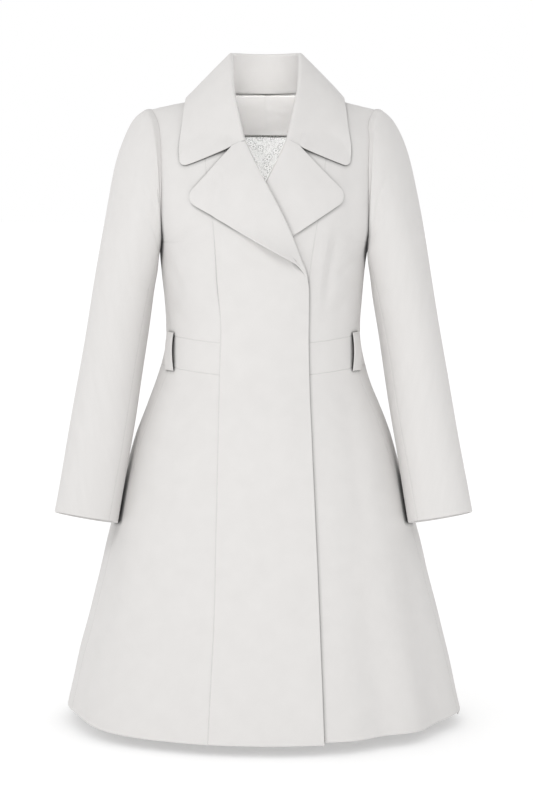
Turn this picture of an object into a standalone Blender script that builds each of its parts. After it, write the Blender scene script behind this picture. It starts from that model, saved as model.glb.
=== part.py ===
"""Fit-and-flare wool overcoat that keeps the form it has when worn.

Every sewn piece is one thin closed wall. Metres, +X to the wearer's left,
-Y to the front, +Z up. The origin lies between the shoulders at the base of
the neck, where a wearer carries the coat.
"""
import bpy
import numpy as np

for old_object in list(bpy.data.objects):
    bpy.data.objects.remove(old_object, do_unlink=True)

# Cloth
WALL = 0.0024
LINING_WALL = 0.0010
SEAM_GAP = 0.0003
LAYER_GAP = 0.0006
LINING_DEPTH = WALL + 0.0014

# Heights of the seams
HEM_Z = -0.922
LEFT_HEM_Z = -0.919
BAND_LOW_Z = -0.3985
BAND_TOP_Z = -0.353
ARMPIT_Z = -0.213
BUST_Z = -0.190
BLADE_Z = -0.120
NECK_Z = 0.0055
FACING_LOW_Z = -0.054

# Shoulder line
NECK_X = 0.0608
TIP_X = 0.164
SHOULDER_FALL = 0.2254
SHOULDER_Y = 0.012
FRONT_POWER = 1.8
BACK_POWER = 2.2

# Neck and lapels sit a little to the wearer's left
NECK_SHIFT = 0.0036

# Lap of the fronts
LAP_LIFT = 0.0036
LAPEL_ROOM = 0.0060
BREAK_Z = -0.2534
LAPEL_START_Z = -0.2455
GORGE_Z = -0.0615
ROLL_ROOM = 0.0056
NECK_ROOM = 0.0042

# Outer sections of the coat: height, half width, depth to the front, depth to the back
SECTIONS = (
    (-0.922, 0.2995, 0.212, 0.216),
    (-0.850, 0.2835, 0.201, 0.205),
    (-0.755, 0.2594, 0.185, 0.190),
    (-0.648, 0.2327, 0.167, 0.173),
    (-0.550, 0.2060, 0.149, 0.158),
    (-0.495, 0.1893, 0.139, 0.149),
    (-0.450, 0.1725, 0.128, 0.138),
    (-0.420, 0.1603, 0.119, 0.126),
    (-0.390, 0.1510, 0.113, 0.113),
    (-0.360, 0.1455, 0.110, 0.103),
    (-0.330, 0.1448, 0.110, 0.099),
    (-0.300, 0.1469, 0.114, 0.100),
    (-0.270, 0.1497, 0.120, 0.104),
    (-0.240, 0.1525, 0.126, 0.109),
    (-0.213, 0.1560, 0.129, 0.114),
    (-0.190, 0.1625, 0.130, 0.118),
    (-0.160, 0.1680, 0.130, 0.121),
    (-0.110, 0.1750, 0.130, 0.122),
    (-0.060, 0.1790, 0.130, 0.122),
    (0.000, 0.1800, 0.130, 0.122),
    (0.030, 0.1800, 0.130, 0.122),
)

# Princess seam: height, distance from the centre
PRINCESS = (
    (-0.922, 0.0790),
    (-0.850, 0.0756),
    (-0.738, 0.0701),
    (-0.600, 0.0672),
    (-0.480, 0.0647),
    (-0.400, 0.0634),
    (-0.330, 0.0617),
    (-0.280, 0.0648),
    (-0.230, 0.0690),
    (-0.170, 0.0762),
    (-0.100, 0.0860),
    (0.000, 0.1000),
)

# Princess seam of the back: height, distance from the centre
BACK_PRINCESS = (
    (-0.922, 0.0900),
    (-0.750, 0.0800),
    (-0.600, 0.0710),
    (-0.480, 0.0630),
    (-0.400, 0.0575),
    (-0.345, 0.0560),
    (-0.280, 0.0610),
    (-0.200, 0.0745),
    (-0.120, 0.0910),
    (-0.060, 0.1010),
    (0.000, 0.1060),
)
BACK_NECK_SHARE = 0.2265

# Front edge, roll line and neck of one front: height, distance past the centre
FRONT_EDGE = (
    (-0.922, 0.0865),
    (-0.820, 0.0827),
    (-0.720, 0.0790),
    (-0.600, 0.0738),
    (-0.500, 0.0693),
    (-0.430, 0.0665),
    (-0.360, 0.0645),
    (-0.295, 0.0640),
    (-0.2534, 0.0575),
    (-0.200, 0.0340),
    (-0.123, 0.0010),
    (-0.090, -0.0160),
    (-0.060, -0.0305),
    (-0.035, -0.0465),
    (-0.012, -0.0550),
    (0.0015, -0.0595),
    (0.0055, -0.0608),
)

# Side seam: height, degrees round from the centre front
SIDE_SEAM = (
    (-0.922, 79.0),
    (-0.650, 77.0),
    (-0.450, 73.0),
    (-0.370, 68.0),
    (-0.300, 77.0),
    (-0.213, 90.0),
)

# Armhole: height, distance from the centre on the front, and on the back
ARMHOLE = (
    (-0.2130, 0.1560, 0.1560),
    (-0.2085, 0.1535, 0.1545),
    (-0.2035, 0.1512, 0.1530),
    (-0.1970, 0.1500, 0.1518),
    (-0.1850, 0.1490, 0.1508),
    (-0.1500, 0.1480, 0.1500),
    (-0.1000, 0.1480, 0.1505),
    (-0.0600, 0.1500, 0.1530),
    (-0.0350, 0.1550, 0.1570),
    (-0.0178, 0.1640, 0.1640),
)

# Soft flutes of the skirt: degrees round from the centre front, width, depth at the hem
FLUTES = (
    (25.0, 7.0, 0.0050),
    (36.0, 6.0, -0.0045),
    (47.0, 7.0, 0.0060),
    (62.0, 8.0, -0.0070),
    (77.0, 8.0, 0.0050),
    (112.0, 9.0, -0.0060),
    (131.0, 9.0, 0.0070),
    (151.0, 8.0, -0.0060),
    (171.0, 9.0, 0.0055),
    (192.0, 8.0, -0.0065),
    (213.0, 9.0, 0.0060),
    (234.0, 8.0, -0.0055),
    (252.0, 9.0, 0.0060),
    (291.0, 10.0, -0.0040),
    (312.0, 14.0, 0.0035),
)

# Sleeve rings: upper end across and height, lower end across and height, centre, half depth
SLEEVE_RINGS = (
    (0.1655, -0.0172, 0.1572, -0.2120, 0.004, 0.0600),
    (0.1770, -0.0195, 0.1585, -0.2210, 0.003, 0.0640),
    (0.1935, -0.0360, 0.1590, -0.2330, 0.002, 0.0655),
    (0.2080, -0.0670, 0.1590, -0.2460, 0.001, 0.0650),
    (0.2210, -0.1100, 0.1595, -0.2620, 0.000, 0.0630),
    (0.2345, -0.1750, 0.1628, -0.2900, -0.001, 0.0600),
    (0.2500, -0.2650, 0.1698, -0.3380, -0.006, 0.0560),
    (0.2645, -0.3550, 0.1787, -0.4000, -0.018, 0.0520),
    (0.2800, -0.4450, 0.1890, -0.4700, -0.034, 0.0475),
    (0.2950, -0.5300, 0.2020, -0.5480, -0.051, 0.0430),
    (0.3083, -0.6060, 0.2146, -0.6220, -0.066, 0.0400),
)
FORE_SEAM_DEG = 140.0
HIND_SEAM_DEG = 308.75

# Collar sections from the notch to the centre back: neck seam, fold and free edge, sag of the fall
COLLAR_SECTIONS = (
    (0.0318, -0.0830, -0.0645, 0.0300, -0.0920, -0.0580, 0.1120, -0.0860, -0.0946, -0.012),
    (0.0470, -0.0660, -0.0350, 0.0375, -0.0700, -0.0180, 0.1195, -0.0760, -0.0740, -0.006),
    (0.0550, -0.0440, -0.0110, 0.0430, -0.0500, 0.0080, 0.1195, -0.0560, -0.0440, 0.000),
    (0.0595, -0.0180, 0.0040, 0.0455, -0.0240, 0.0390, 0.1180, -0.0270, -0.0130, 0.002),
    (0.0600, 0.0120, 0.0075, 0.0465, 0.0020, 0.0605, 0.1150, 0.0140, 0.0005, 0.004),
    (0.0530, 0.0390, 0.0068, 0.0430, 0.0300, 0.0645, 0.1000, 0.0600, -0.0105, 0.006),
    (0.0300, 0.0580, 0.0064, 0.0250, 0.0500, 0.0650, 0.0600, 0.0830, -0.0190, 0.006),
    (0.0000, 0.0635, 0.0064, 0.0000, 0.0570, 0.0650, 0.0000, 0.0960, -0.0200, 0.006),
)
FOLD_RADIUS = 0.0042
COLLAR_STAND_OFF = 0.0028

# Lapel outline seen from the front: tip, notch, rounding of the tip
LAPEL_TIP = (-0.1132, -0.1441)
LAPEL_NOTCH = (-0.0447, -0.0742)
LAPEL_FOOT = (0.0340, -0.2328)
TIP_ROUND = 0.015

# Turn of the lapel at the roll line: distance in from the roll, lift off the front
LAPEL_TURN = (
    (0.0036, -0.0024),
    (0.0018, -0.0021),
    (0.0005, -0.0009),
    (0.0000, 0.0008),
    (0.0006, 0.0026),
    (0.0022, 0.0038),
    (0.0052, 0.0046),
)
LAPEL_FLAT = 0.0042

# Belt loops at the side seams
LOOP_WIDTH = 0.015
LOOP_TOP_Z = -0.3445
LOOP_LOW_Z = -0.4006
LOOP_STAND = 0.0075
LOOP_DEG = 66.0
LOOP_WALL = 0.0020


def smooth(rows, column, at):
    """Cubic through one column of a table whose first column rises."""
    table = np.array(rows, dtype=float)
    knots = table[:, 0]
    values = table[:, column]
    slopes = np.gradient(values, knots)
    at = np.asarray(at, dtype=float)
    i = np.clip(np.searchsorted(knots, at) - 1, 0, len(knots) - 2)
    step = knots[i + 1] - knots[i]
    t = np.clip((at - knots[i]) / step, 0.0, 1.0)
    start = (1 + 2 * t) * (1 - t) ** 2 * values[i] + t * (1 - t) ** 2 * step * slopes[i]
    return start + t ** 2 * (3 - 2 * t) * values[i + 1] + t ** 2 * (t - 1) * step * slopes[i + 1]


def ease(low, high, at):
    """Soft step from 0 at low to 1 at high."""
    t = np.clip((np.asarray(at, dtype=float) - low) / (high - low), 0.0, 1.0)
    return t * t * (3 - 2 * t)


def unit(vectors):
    return vectors / np.linalg.norm(vectors, axis=-1, keepdims=True)


def shoulder_height(x):
    return NECK_Z - SHOULDER_FALL * (np.abs(x) - NECK_X)


def flute(angle, z):
    """Flutes swell from the waist to the hem."""
    run = np.clip((BAND_LOW_Z - z) / (BAND_LOW_Z - HEM_Z), 0.0, 1.0) ** 1.4
    total = np.zeros(np.broadcast(angle, z).shape)
    for centre, width, depth in FLUTES:
        away = (np.degrees(angle) - centre + 180.0) % 360.0 - 180.0
        total = total + depth * np.exp(-(away / width) ** 2)
    return total * run


def bare_coat(angle, z):
    """Outer face of the coat: an oval at each height that closes to the shoulder line."""
    angle, z = np.broadcast_arrays(np.asarray(angle, dtype=float), np.asarray(z, dtype=float))
    half = smooth(SECTIONS, 1, z)
    x = half * np.sin(angle)
    front = np.cos(angle) > 0
    depth = np.where(front, smooth(SECTIONS, 2, z), smooth(SECTIONS, 3, z))
    power = np.where(front, FRONT_POWER, BACK_POWER)
    level = np.where(front, BUST_Z, BLADE_Z)
    seam_y = np.where(front, SHOULDER_Y - SEAM_GAP / 2, SHOULDER_Y + SEAM_GAP / 2)
    climb = np.clip((z - level) / (shoulder_height(x) - level), 0.0, 1.0)
    fullness = (1 - climb ** power) ** (1 / power)
    low_y = -depth * np.cos(angle)
    y = np.where(z > level, seam_y + (low_y - seam_y) * fullness, low_y)
    swell = 1 + flute(angle, z) / 0.25
    return np.stack([x * swell, y * swell, z], axis=-1), climb


def coat(angle, z, lift=0.0):
    """Point of the coat's outer face moved out along its normal by the lift."""
    angle, z, lift = np.broadcast_arrays(
        np.asarray(angle, dtype=float), np.asarray(z, dtype=float), np.asarray(lift, dtype=float))
    point, climb = bare_coat(angle, z)
    low = np.minimum(z, shoulder_height(point[..., 0]) - 0.0015)
    step = 0.0004
    round_way = bare_coat(angle + step, low)[0] - bare_coat(angle - step, low)[0]
    up_way = bare_coat(angle, low + step)[0] - bare_coat(angle, low - step)[0]
    normal = unit(np.cross(round_way, up_way))
    slope = np.sign(point[..., 0]) * SHOULDER_FALL
    ridge = unit(np.stack([slope, np.zeros_like(slope), np.ones_like(slope)], axis=-1))
    share = ease(0.93, 1.0, climb)[..., None]
    normal = unit(normal * (1 - share) + ridge * share)
    return point + normal * lift[..., None]


def angle_of(x, z):
    """Angle round from the centre front of a point on the front half."""
    return np.arcsin(np.clip(x / smooth(SECTIONS, 1, z), -1.0, 1.0))


def turn_of(distance):
    """Angle that a short distance spans round the coat."""
    return distance / 0.13


def side_angle(z):
    return np.radians(smooth(SIDE_SEAM, 1, z))


def princess_angle(z):
    return angle_of(smooth(PRINCESS, 1, z), z)


def armhole_angle(z, column):
    across = smooth(ARMHOLE, column, np.maximum(z, ARMPIT_Z))
    return angle_of(across, np.maximum(z, ARMPIT_Z))


def outer_angle(z, column):
    """Side seam below the armpit and armhole above it."""
    return np.where(z < ARMPIT_Z, side_angle(z), armhole_angle(z, column))


def back_seam_angle(z):
    return np.pi - angle_of(smooth(BACK_PRINCESS, 1, z), z)


def front_opening(z):
    """Free edge of a front, set back where the lapel and the collar turn over it."""
    across = smooth(FRONT_EDGE, 1, z)
    room = ROLL_ROOM * ease(BREAK_Z - 0.012, LAPEL_START_Z - 0.001, z)
    room = room + (NECK_ROOM - ROLL_ROOM) * ease(GORGE_Z, GORGE_Z + 0.02, z)
    return across - room


def lap_share(x, z):
    """0 at the front's own princess seam, 1 at its free edge, x counted past the centre."""
    seam = smooth(PRINCESS, 1, z)
    edge = np.maximum(smooth(FRONT_EDGE, 1, z), 0.05)
    return np.clip((x + seam) / (seam + edge), 0.0, 1.1)


def lap_lift(x, z, side):
    """Right front rises over the left front and its lapel, left front sinks under."""
    share = lap_share(x, z) * (1 - ease(-0.125, -0.075, z))
    if side > 0:
        return -LAP_LIFT * share
    room = LAPEL_ROOM * ease(-0.320, -0.255, z) * (1 - ease(-0.125, -0.085, z))
    return LAP_LIFT * share + room * ease(-0.074, -0.058, x)


def set_over(points):
    """Shift the neck and lapels sideways, fading out at the shoulders and below the bust."""
    fade = ease(-0.28, -0.14, points[..., 2]) * (1 - ease(0.10, 0.150, np.abs(points[..., 0])))
    return points + np.stack([NECK_SHIFT * fade, 0 * fade, 0 * fade], axis=-1)


def signed_volume(points, faces):
    total = 0.0
    for face in faces:
        first = points[face[0]]
        for second, third in zip(face[1:-1], face[2:]):
            total += np.dot(first, np.cross(points[second], points[third]))
    return total


def add_wall(name, outer, inner, colour, roughness=0.85):
    """Closed wall between two matching grids of points."""
    rows, columns = outer.shape[:2]
    points = set_over(np.concatenate([outer.reshape(-1, 3), inner.reshape(-1, 3)]))
    under = rows * columns
    faces = []
    for r in range(rows - 1):
        for c in range(columns - 1):
            a = r * columns + c
            b = a + 1
            d = a + columns
            e = d + 1
            faces.append((a, b, e, d))
            faces.append((a + under, d + under, e + under, b + under))
    bottom = [c for c in range(columns)]
    right = [r * columns + columns - 1 for r in range(1, rows)]
    top = [(rows - 1) * columns + c for c in range(columns - 2, -1, -1)]
    left = [r * columns for r in range(rows - 2, 0, -1)]
    rim = bottom + right + top + left
    for here, there in zip(rim, rim[1:] + rim[:1]):
        faces.append((there, here, here + under, there + under))
    if signed_volume(points, faces) < 0:
        faces = [tuple(reversed(face)) for face in faces]
    mesh = bpy.data.meshes.new(name)
    mesh.from_pydata([tuple(p) for p in points], [], faces)
    mesh.validate()
    piece = bpy.data.objects.new(name, mesh)
    bpy.context.scene.collection.objects.link(piece)
    material = bpy.data.materials.new(name + "_cloth")
    material.use_nodes = True
    shader = material.node_tree.nodes["Principled BSDF"]
    shader.inputs["Base Color"].default_value = (*colour, 1.0)
    shader.inputs["Roughness"].default_value = roughness
    mesh.materials.append(material)
    return piece


IVORY = (0.80, 0.78, 0.75)
LINING_WHITE = (0.84, 0.84, 0.82)


def shell(name, angle, z, lift=0.0, wall=WALL, colour=IVORY):
    """Wall of the coat's own surface over a grid of angles and heights."""
    outer = coat(angle, z, lift)
    inner = coat(angle, z, np.asarray(lift) - wall)
    return add_wall(name, outer, inner, colour)


def bodice_rows(low_z):
    """Fixed heights below the bust and eased shares of the rise above it."""
    fixed = np.array([low_z, -0.330, -0.300, -0.270, -0.240, ARMPIT_Z, -0.2085, -0.2035, -0.197])
    rise = np.sin(np.radians([0, 7, 14, 21, 28, 36, 44, 52, 60, 68, 75, 82, 90]))
    return fixed, rise


def raised_grid(start_angle, end_angle, across, low_z, top_z):
    """Grid of angles and heights whose top row lies on the line given by top_z(x)."""
    fixed, rise = bodice_rows(low_z)
    share = np.asarray(across)
    top = np.full(share.shape, -0.01)
    for _ in range(60):
        angle = start_angle(top) + (end_angle(top) - start_angle(top)) * share
        x = smooth(SECTIONS, 1, top) * np.sin(angle)
        top = 0.5 * top + 0.5 * top_z(x)
    z = np.concatenate([
        np.repeat(fixed[:, None], len(share), axis=1),
        BUST_Z + (top[None, :] - BUST_Z) * rise[:, None]])
    angle = start_angle(z) + (end_angle(z) - start_angle(z)) * share[None, :]
    return angle, z


def flat_grid(start_angle, end_angle, columns, heights):
    share = np.linspace(0, 1, columns)[None, :]
    z = np.repeat(np.asarray(heights)[:, None], columns, axis=1)
    return start_angle(z) + (end_angle(z) - start_angle(z)) * share, z


def skirt_heights(low):
    """Rows of the skirt, closer together where it springs out below the waistband."""
    share = np.linspace(0, 1, 11) ** 1.5
    return (BAND_LOW_Z - SEAM_GAP / 2 + (low - BAND_LOW_Z) * share)[::-1]


def make_centre_front(name, side):
    """Centre front from hem to shoulder, between its princess seam and its free edge."""
    low = HEM_Z if side < 0 else LEFT_HEM_Z
    skirt = skirt_heights(low)

    def seam(z):
        return -princess_angle(z) + turn_of(SEAM_GAP / 2)

    def edge(z):
        return angle_of(front_opening(z), z)

    share = np.linspace(0, 1, 8)
    angle, z = raised_grid(seam, edge, share, BAND_TOP_Z, shoulder_height)
    skirt_z = np.repeat(skirt[:, None], len(share), axis=1)
    skirt_angle = seam(skirt_z) + (edge(skirt_z) - seam(skirt_z)) * share[None, :]
    angle = np.concatenate([skirt_angle, angle])
    z = np.concatenate([skirt_z, z])
    across = smooth(SECTIONS, 1, z) * np.sin(angle)
    shell(name, -side * angle, z, lap_lift(across, z, side))


def make_side_front(name, side):
    """Bodice side from princess seam to side seam and armhole."""
    def seam(z):
        return princess_angle(z) + turn_of(SEAM_GAP / 2)

    def edge(z):
        return outer_angle(z, 1) - turn_of(SEAM_GAP / 2)

    angle, z = raised_grid(seam, edge, np.linspace(0, 1, 7), BAND_TOP_Z + SEAM_GAP / 2, shoulder_height)
    shell(name, side * angle, z)


def make_band_front(name, side):
    def seam(z):
        return princess_angle(z) + turn_of(SEAM_GAP / 2)

    def edge(z):
        return side_angle(z) - turn_of(SEAM_GAP / 2)

    heights = np.linspace(BAND_LOW_Z + SEAM_GAP / 2, BAND_TOP_Z - SEAM_GAP / 2, 3)
    angle, z = flat_grid(seam, edge, 6, heights)
    shell(name, side * angle, z)


def make_skirt_front(name, side):
    def seam(z):
        return princess_angle(z) + turn_of(SEAM_GAP / 2)

    def edge(z):
        return side_angle(z) - turn_of(SEAM_GAP / 2)

    low = HEM_Z if side < 0 else LEFT_HEM_Z
    heights = skirt_heights(low)
    angle, z = flat_grid(seam, edge, 10, heights)
    shell(name, side * angle, z)


def make_back_centre():
    """Back between its princess seams, and the waistband from side seam to side seam."""
    def seam(z):
        return back_seam_angle(z) + turn_of(SEAM_GAP / 2)

    def far_seam(z):
        return 2 * np.pi - seam(z)

    def side(z):
        return side_angle(z) + turn_of(SEAM_GAP / 2)

    def far_side(z):
        return 2 * np.pi - side(z)

    def top_line(x):
        return np.minimum(NECK_Z, shoulder_height(x))

    outside = np.linspace(0, BACK_NECK_SHARE, 4)
    middle = np.linspace(BACK_NECK_SHARE, 1 - BACK_NECK_SHARE, 7)[1:-1]
    share = np.concatenate([outside, middle, 1 - outside[::-1]])
    angle, z = raised_grid(seam, far_seam, share, BAND_TOP_Z + SEAM_GAP / 2, top_line)
    shell("back_centre", angle, z)
    heights = np.linspace(BAND_LOW_Z + SEAM_GAP / 2, BAND_TOP_Z - SEAM_GAP / 2, 3)
    angle, z = flat_grid(side, far_side, 17, heights)
    shell("waistband_back", angle, z)
    angle, z = flat_grid(seam, far_seam, 12, skirt_heights(HEM_Z))
    shell("skirt_back_centre", angle, z)


def make_back_side(word, side):
    """Back from side seam and armhole to princess seam, above and below the waistband."""
    def edge(z):
        over = np.pi - armhole_angle(z, 2)
        return np.where(z < ARMPIT_Z, side_angle(z), over) + turn_of(SEAM_GAP / 2)

    def seam(z):
        return back_seam_angle(z) - turn_of(SEAM_GAP / 2)

    angle, z = raised_grid(edge, seam, np.linspace(0, 1, 8), BAND_TOP_Z + SEAM_GAP / 2, shoulder_height)
    shell("back_side_" + word, side * angle, z)
    angle, z = flat_grid(edge, seam, 10, skirt_heights(HEM_Z))
    shell("skirt_back_" + word, side * angle, z)


def make_back_inside():
    """Neck facing and lining on the inside of the back, where the open neck shows them."""
    def right(z):
        return np.pi - angle_of(np.full(np.shape(z), 0.085), z)

    def left(z):
        return 2 * np.pi - right(z)

    share = np.linspace(0, 1, 13)[None, :]
    width = 0.085 * (1 - 2 * share)
    top = np.minimum(NECK_Z - 0.0006, shoulder_height(width) - 0.010)
    rise = np.linspace(0, 1, 5)[:, None]
    z = FACING_LOW_Z + (top - FACING_LOW_Z) * rise
    angle = right(z) + (left(z) - right(z)) * share
    depth = -(LINING_DEPTH + LINING_WALL + 3 * LAYER_GAP)
    shell("back_neck_facing", angle, z, depth, wall=0.0014)

    def lining_right(z):
        return np.pi - angle_of(np.full(np.shape(z), 0.115), z)

    def lining_left(z):
        return 2 * np.pi - lining_right(z)

    heights = np.linspace(BAND_TOP_Z + 0.004, FACING_LOW_Z + 0.012, 11)
    angle, z = flat_grid(lining_right, lining_left, 12, heights)
    shell("back_lining", angle, z, -LINING_DEPTH, wall=LINING_WALL, colour=LINING_WHITE)


def armhole_ring(turn):
    """Armhole edge of the coat, turn 0 at the shoulder tip and a quarter turn at the front."""
    middle = (ARMPIT_Z + shoulder_height(TIP_X)) / 2
    reach = (shoulder_height(TIP_X) - ARMPIT_Z) / 2
    z = middle + reach * np.cos(turn)
    front = np.sin(turn) >= 0
    angle = np.where(front, armhole_angle(z, 1), np.pi - armhole_angle(z, 2))
    return bare_coat(angle, z)[0]


def sleeve_face(turn, run):
    """Outer face of a sleeve, slanted ovals down the arm that grow out of the armhole."""
    turn, run = np.broadcast_arrays(np.asarray(turn, dtype=float), np.asarray(run, dtype=float))
    rings = [(i,) + row for i, row in enumerate(SLEEVE_RINGS)]
    columns = [smooth(rings, c, run) for c in range(1, 7)]
    upper_x, upper_z, lower_x, lower_z, centre_y, half_depth = columns
    x = (upper_x + lower_x) / 2 + (upper_x - lower_x) / 2 * np.cos(turn)
    z = (upper_z + lower_z) / 2 + (upper_z - lower_z) / 2 * np.cos(turn)
    y = centre_y - half_depth * np.sin(turn)
    oval = np.stack([x, y, z], axis=-1)
    first = SLEEVE_RINGS[0]
    first_x = (first[0] + first[2]) / 2 + (first[0] - first[2]) / 2 * np.cos(turn)
    first_z = (first[1] + first[3]) / 2 + (first[1] - first[3]) / 2 * np.cos(turn)
    first_y = first[4] - first[5] * np.sin(turn)
    start = np.stack([first_x, first_y, first_z], axis=-1)
    hold = np.clip(1 - run / 4.5, 0.0, 1.0) ** 2
    under = ease(0.55, 0.95, -np.cos(turn))
    clear = np.stack([
        SEAM_GAP + 0.0014 * under, np.zeros_like(turn), 0.0010 * under], axis=-1)
    return oval + hold[..., None] * (armhole_ring(turn) + clear - start)


def sleeve_turns(first_deg, last_deg):
    """Turns of the armhole rows between two sleeve seams, so that both edges share their points."""
    fixed, rise = bodice_rows(BAND_TOP_Z)
    tip_z = shoulder_height(TIP_X)
    heights = np.concatenate([fixed[fixed > ARMPIT_Z - 1e-6], BUST_Z + (tip_z - BUST_Z) * rise])
    half = np.degrees(np.arccos(np.clip((2 * heights - tip_z - ARMPIT_Z) / (tip_z - ARMPIT_Z), -1, 1)))
    around = np.unique(np.round(np.concatenate([half, 360.0 - half, -half]), 6))
    kept = around[(around >= first_deg - 2.0) & (around <= last_deg + 2.0)]
    turns = np.radians(kept)
    turns[0] += SEAM_GAP / 2 / 0.05
    turns[-1] -= SEAM_GAP / 2 / 0.05
    return turns


def make_sleeve(name, side, first_deg, last_deg):
    turns = sleeve_turns(first_deg, last_deg)
    runs = np.array([0, 0.5, 1, 1.5, 2, 2.6, 3.2, 4, 4.8, 5.6, 6.4, 7.2, 8, 8.7, 9.4, 10])
    run, turn = np.meshgrid(runs, turns, indexing="ij")
    step = 0.002
    outer = sleeve_face(turn, run)
    round_way = sleeve_face(turn + step, run) - sleeve_face(turn - step, run)
    down_way = sleeve_face(turn, np.minimum(run + step, 10)) - sleeve_face(turn, np.maximum(run - step, 0))
    normal = unit(np.cross(round_way, down_way))
    inner = outer - normal * WALL
    mirror = np.array([side, 1.0, 1.0])
    add_wall(name, outer * mirror, inner * mirror, IVORY)


def rounded_corner(before, corner, after, radius, samples):
    """Points of a path of two straight lines with a rounded corner, evenly shared."""
    before, corner, after = (np.array(p) for p in (before, corner, after))
    back = unit(before - corner)
    ahead = unit(after - corner)
    half = np.arccos(np.clip(np.dot(back, ahead), -1, 1)) / 2
    cut = radius / np.tan(half)
    start = corner + back * cut
    end = corner + ahead * cut
    centre = corner + unit(back + ahead) * radius / np.sin(half)
    arc_from = start - centre
    arc_to = end - centre
    sweep = np.pi - 2 * half
    share = np.linspace(0, 1, 9)[:, None]
    arc = centre + (np.sin((1 - share) * sweep) * arc_from + np.sin(share * sweep) * arc_to) / np.sin(sweep)
    path = np.concatenate([before[None], arc, after[None]])
    length = np.concatenate([[0], np.cumsum(np.linalg.norm(np.diff(path, axis=0), axis=1))])
    at = np.asarray(samples) * length[-1]
    return np.stack([np.interp(at, length, path[:, k]) for k in range(2)], axis=-1)


def make_lapel(name, side):
    """Lapel turned back over its front: hook round the roll line, then flat to its outline."""
    rows = 17
    share = np.linspace(0, 1, rows)
    roll_z = LAPEL_START_Z + (GORGE_Z - 0.0012 - LAPEL_START_Z) * share ** 0.9
    roll = np.stack([smooth(FRONT_EDGE, 1, roll_z), roll_z], axis=-1)
    along = np.interp(share, [0, 0.42, 0.62, 1], [0, 0.58, 0.70, 1])
    free = rounded_corner(LAPEL_FOOT, LAPEL_TIP, LAPEL_NOTCH, TIP_ROUND, along)
    reach = np.linalg.norm(free - roll, axis=-1)
    way = unit(free - roll)
    roll_way = unit(np.gradient(roll, axis=0))
    slant = np.abs(roll_way[:, 0] * way[:, 1] - roll_way[:, 1] * way[:, 0])
    turn = np.array(LAPEL_TURN)
    flat = np.linspace(0, 1, 9)[1:]
    tucked = turn[None, :, 0] / slant[:, None]
    spread = tucked[:, -1:] + (reach[:, None] - tucked[:, -1:]) * flat[None, :]
    distance = np.concatenate([tucked, spread], axis=1)
    rise_flat = LAPEL_FLAT + (turn[-1, 1] - LAPEL_FLAT) * (1 - flat) ** 2
    rise = np.concatenate([turn[:, 1], rise_flat])[None, :]
    flat_points = roll[:, None, :] + way[:, None, :] * distance[..., None]
    x = flat_points[..., 0]
    z = flat_points[..., 1]
    lift = lap_lift(x, z, side) + rise
    facing_x = -side * x
    outer = coat(angle_of(facing_x, z), z, lift)
    across = np.gradient(outer, axis=1)
    length = np.gradient(outer, axis=0)
    normal = unit(np.cross(across, length))
    if side > 0:
        normal = -normal
    add_wall(name, outer, outer + normal * WALL, IVORY)


def clear_of_coat(points, lift):
    """Push points forward or back until they lie off the coat's outer face."""
    x, y, z = points[..., 0], points[..., 1], points[..., 2]
    under = np.minimum(z, shoulder_height(x) - 0.0005)
    ahead = coat(angle_of(x, under), under, lift)
    behind = coat(np.pi - angle_of(x, under), under, lift)
    low = z < shoulder_height(x) + lift
    front = np.where(low & (y < SHOULDER_Y), np.minimum(y, ahead[..., 1]), y)
    pushed = np.where(low & (y >= SHOULDER_Y), np.maximum(front, behind[..., 1]), front)
    return np.stack([x, pushed, z], axis=-1)


def collar_face(place, share):
    """Seen face of the collar: up the stand, round the fold and down the fall."""
    turned = [value * (-1 if c in (0, 3, 6) else 1) for c, value in enumerate(COLLAR_SECTIONS[-2])]
    table = [(i,) + tuple(row) for i, row in enumerate(COLLAR_SECTIONS + (turned,))]
    side = np.where(place < 0, -1.0, 1.0)
    at = np.abs(place)
    columns = [smooth(table, c, 7 - at) for c in range(1, 11)]
    flip = np.stack([side, np.ones_like(side), np.ones_like(side)], axis=-1)
    neck = np.stack(columns[0:3], axis=-1) * flip
    fold = np.stack(columns[3:6], axis=-1) * flip
    edge = np.stack(columns[6:9], axis=-1) * flip
    sag = columns[9]
    up = unit(fold - neck)
    out = edge - fold
    out = unit(out - up * np.sum(out * up, axis=-1, keepdims=True))
    centre = fold - up * FOLD_RADIUS + out * FOLD_RADIUS
    fall = unit(edge - fold)
    lean = np.arctan2(np.sum(fall * out, axis=-1), -np.sum(fall * up, axis=-1))
    sweep = np.pi - lean
    rows = []
    stand_steps, fold_steps, fall_steps = share
    for t in stand_steps:
        rows.append(neck + (fold - up * FOLD_RADIUS - neck) * t)
    for t in fold_steps:
        bend = (t * sweep)[..., None]
        rows.append(centre + FOLD_RADIUS * (up * np.sin(bend) - out * np.cos(bend)))
    bend = sweep[..., None]
    begin = centre + FOLD_RADIUS * (up * np.sin(bend) - out * np.cos(bend))
    middle = (begin + edge) / 2
    middle[..., 2] += sag
    for t in fall_steps:
        point = (1 - t) ** 2 * begin + 2 * t * (1 - t) * middle + t ** 2 * edge
        rows.append(clear_of_coat(point, WALL + COLLAR_STAND_OFF))
    return np.stack(rows, axis=0)


def make_collar():
    steps = (
        np.linspace(0, 1, 4)[:-1],
        np.linspace(0, 1, 6)[:-1],
        np.concatenate([[0.0], np.linspace(0, 1, 7)[1:]]))
    half = np.array([0, 0.7, 1.4, 2.0, 2.6, 3.2, 3.8, 4.4, 5.0, 5.5, 6.0, 6.4, 6.75, 7.0])
    place = np.concatenate([-half[::-1], half[1:]])
    outer = collar_face(place, steps)
    round_way = np.gradient(outer, axis=1)
    up_way = np.gradient(outer, axis=0)
    normal = unit(np.cross(up_way, round_way))
    add_wall("collar", outer, outer + normal * WALL, IVORY)


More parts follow.
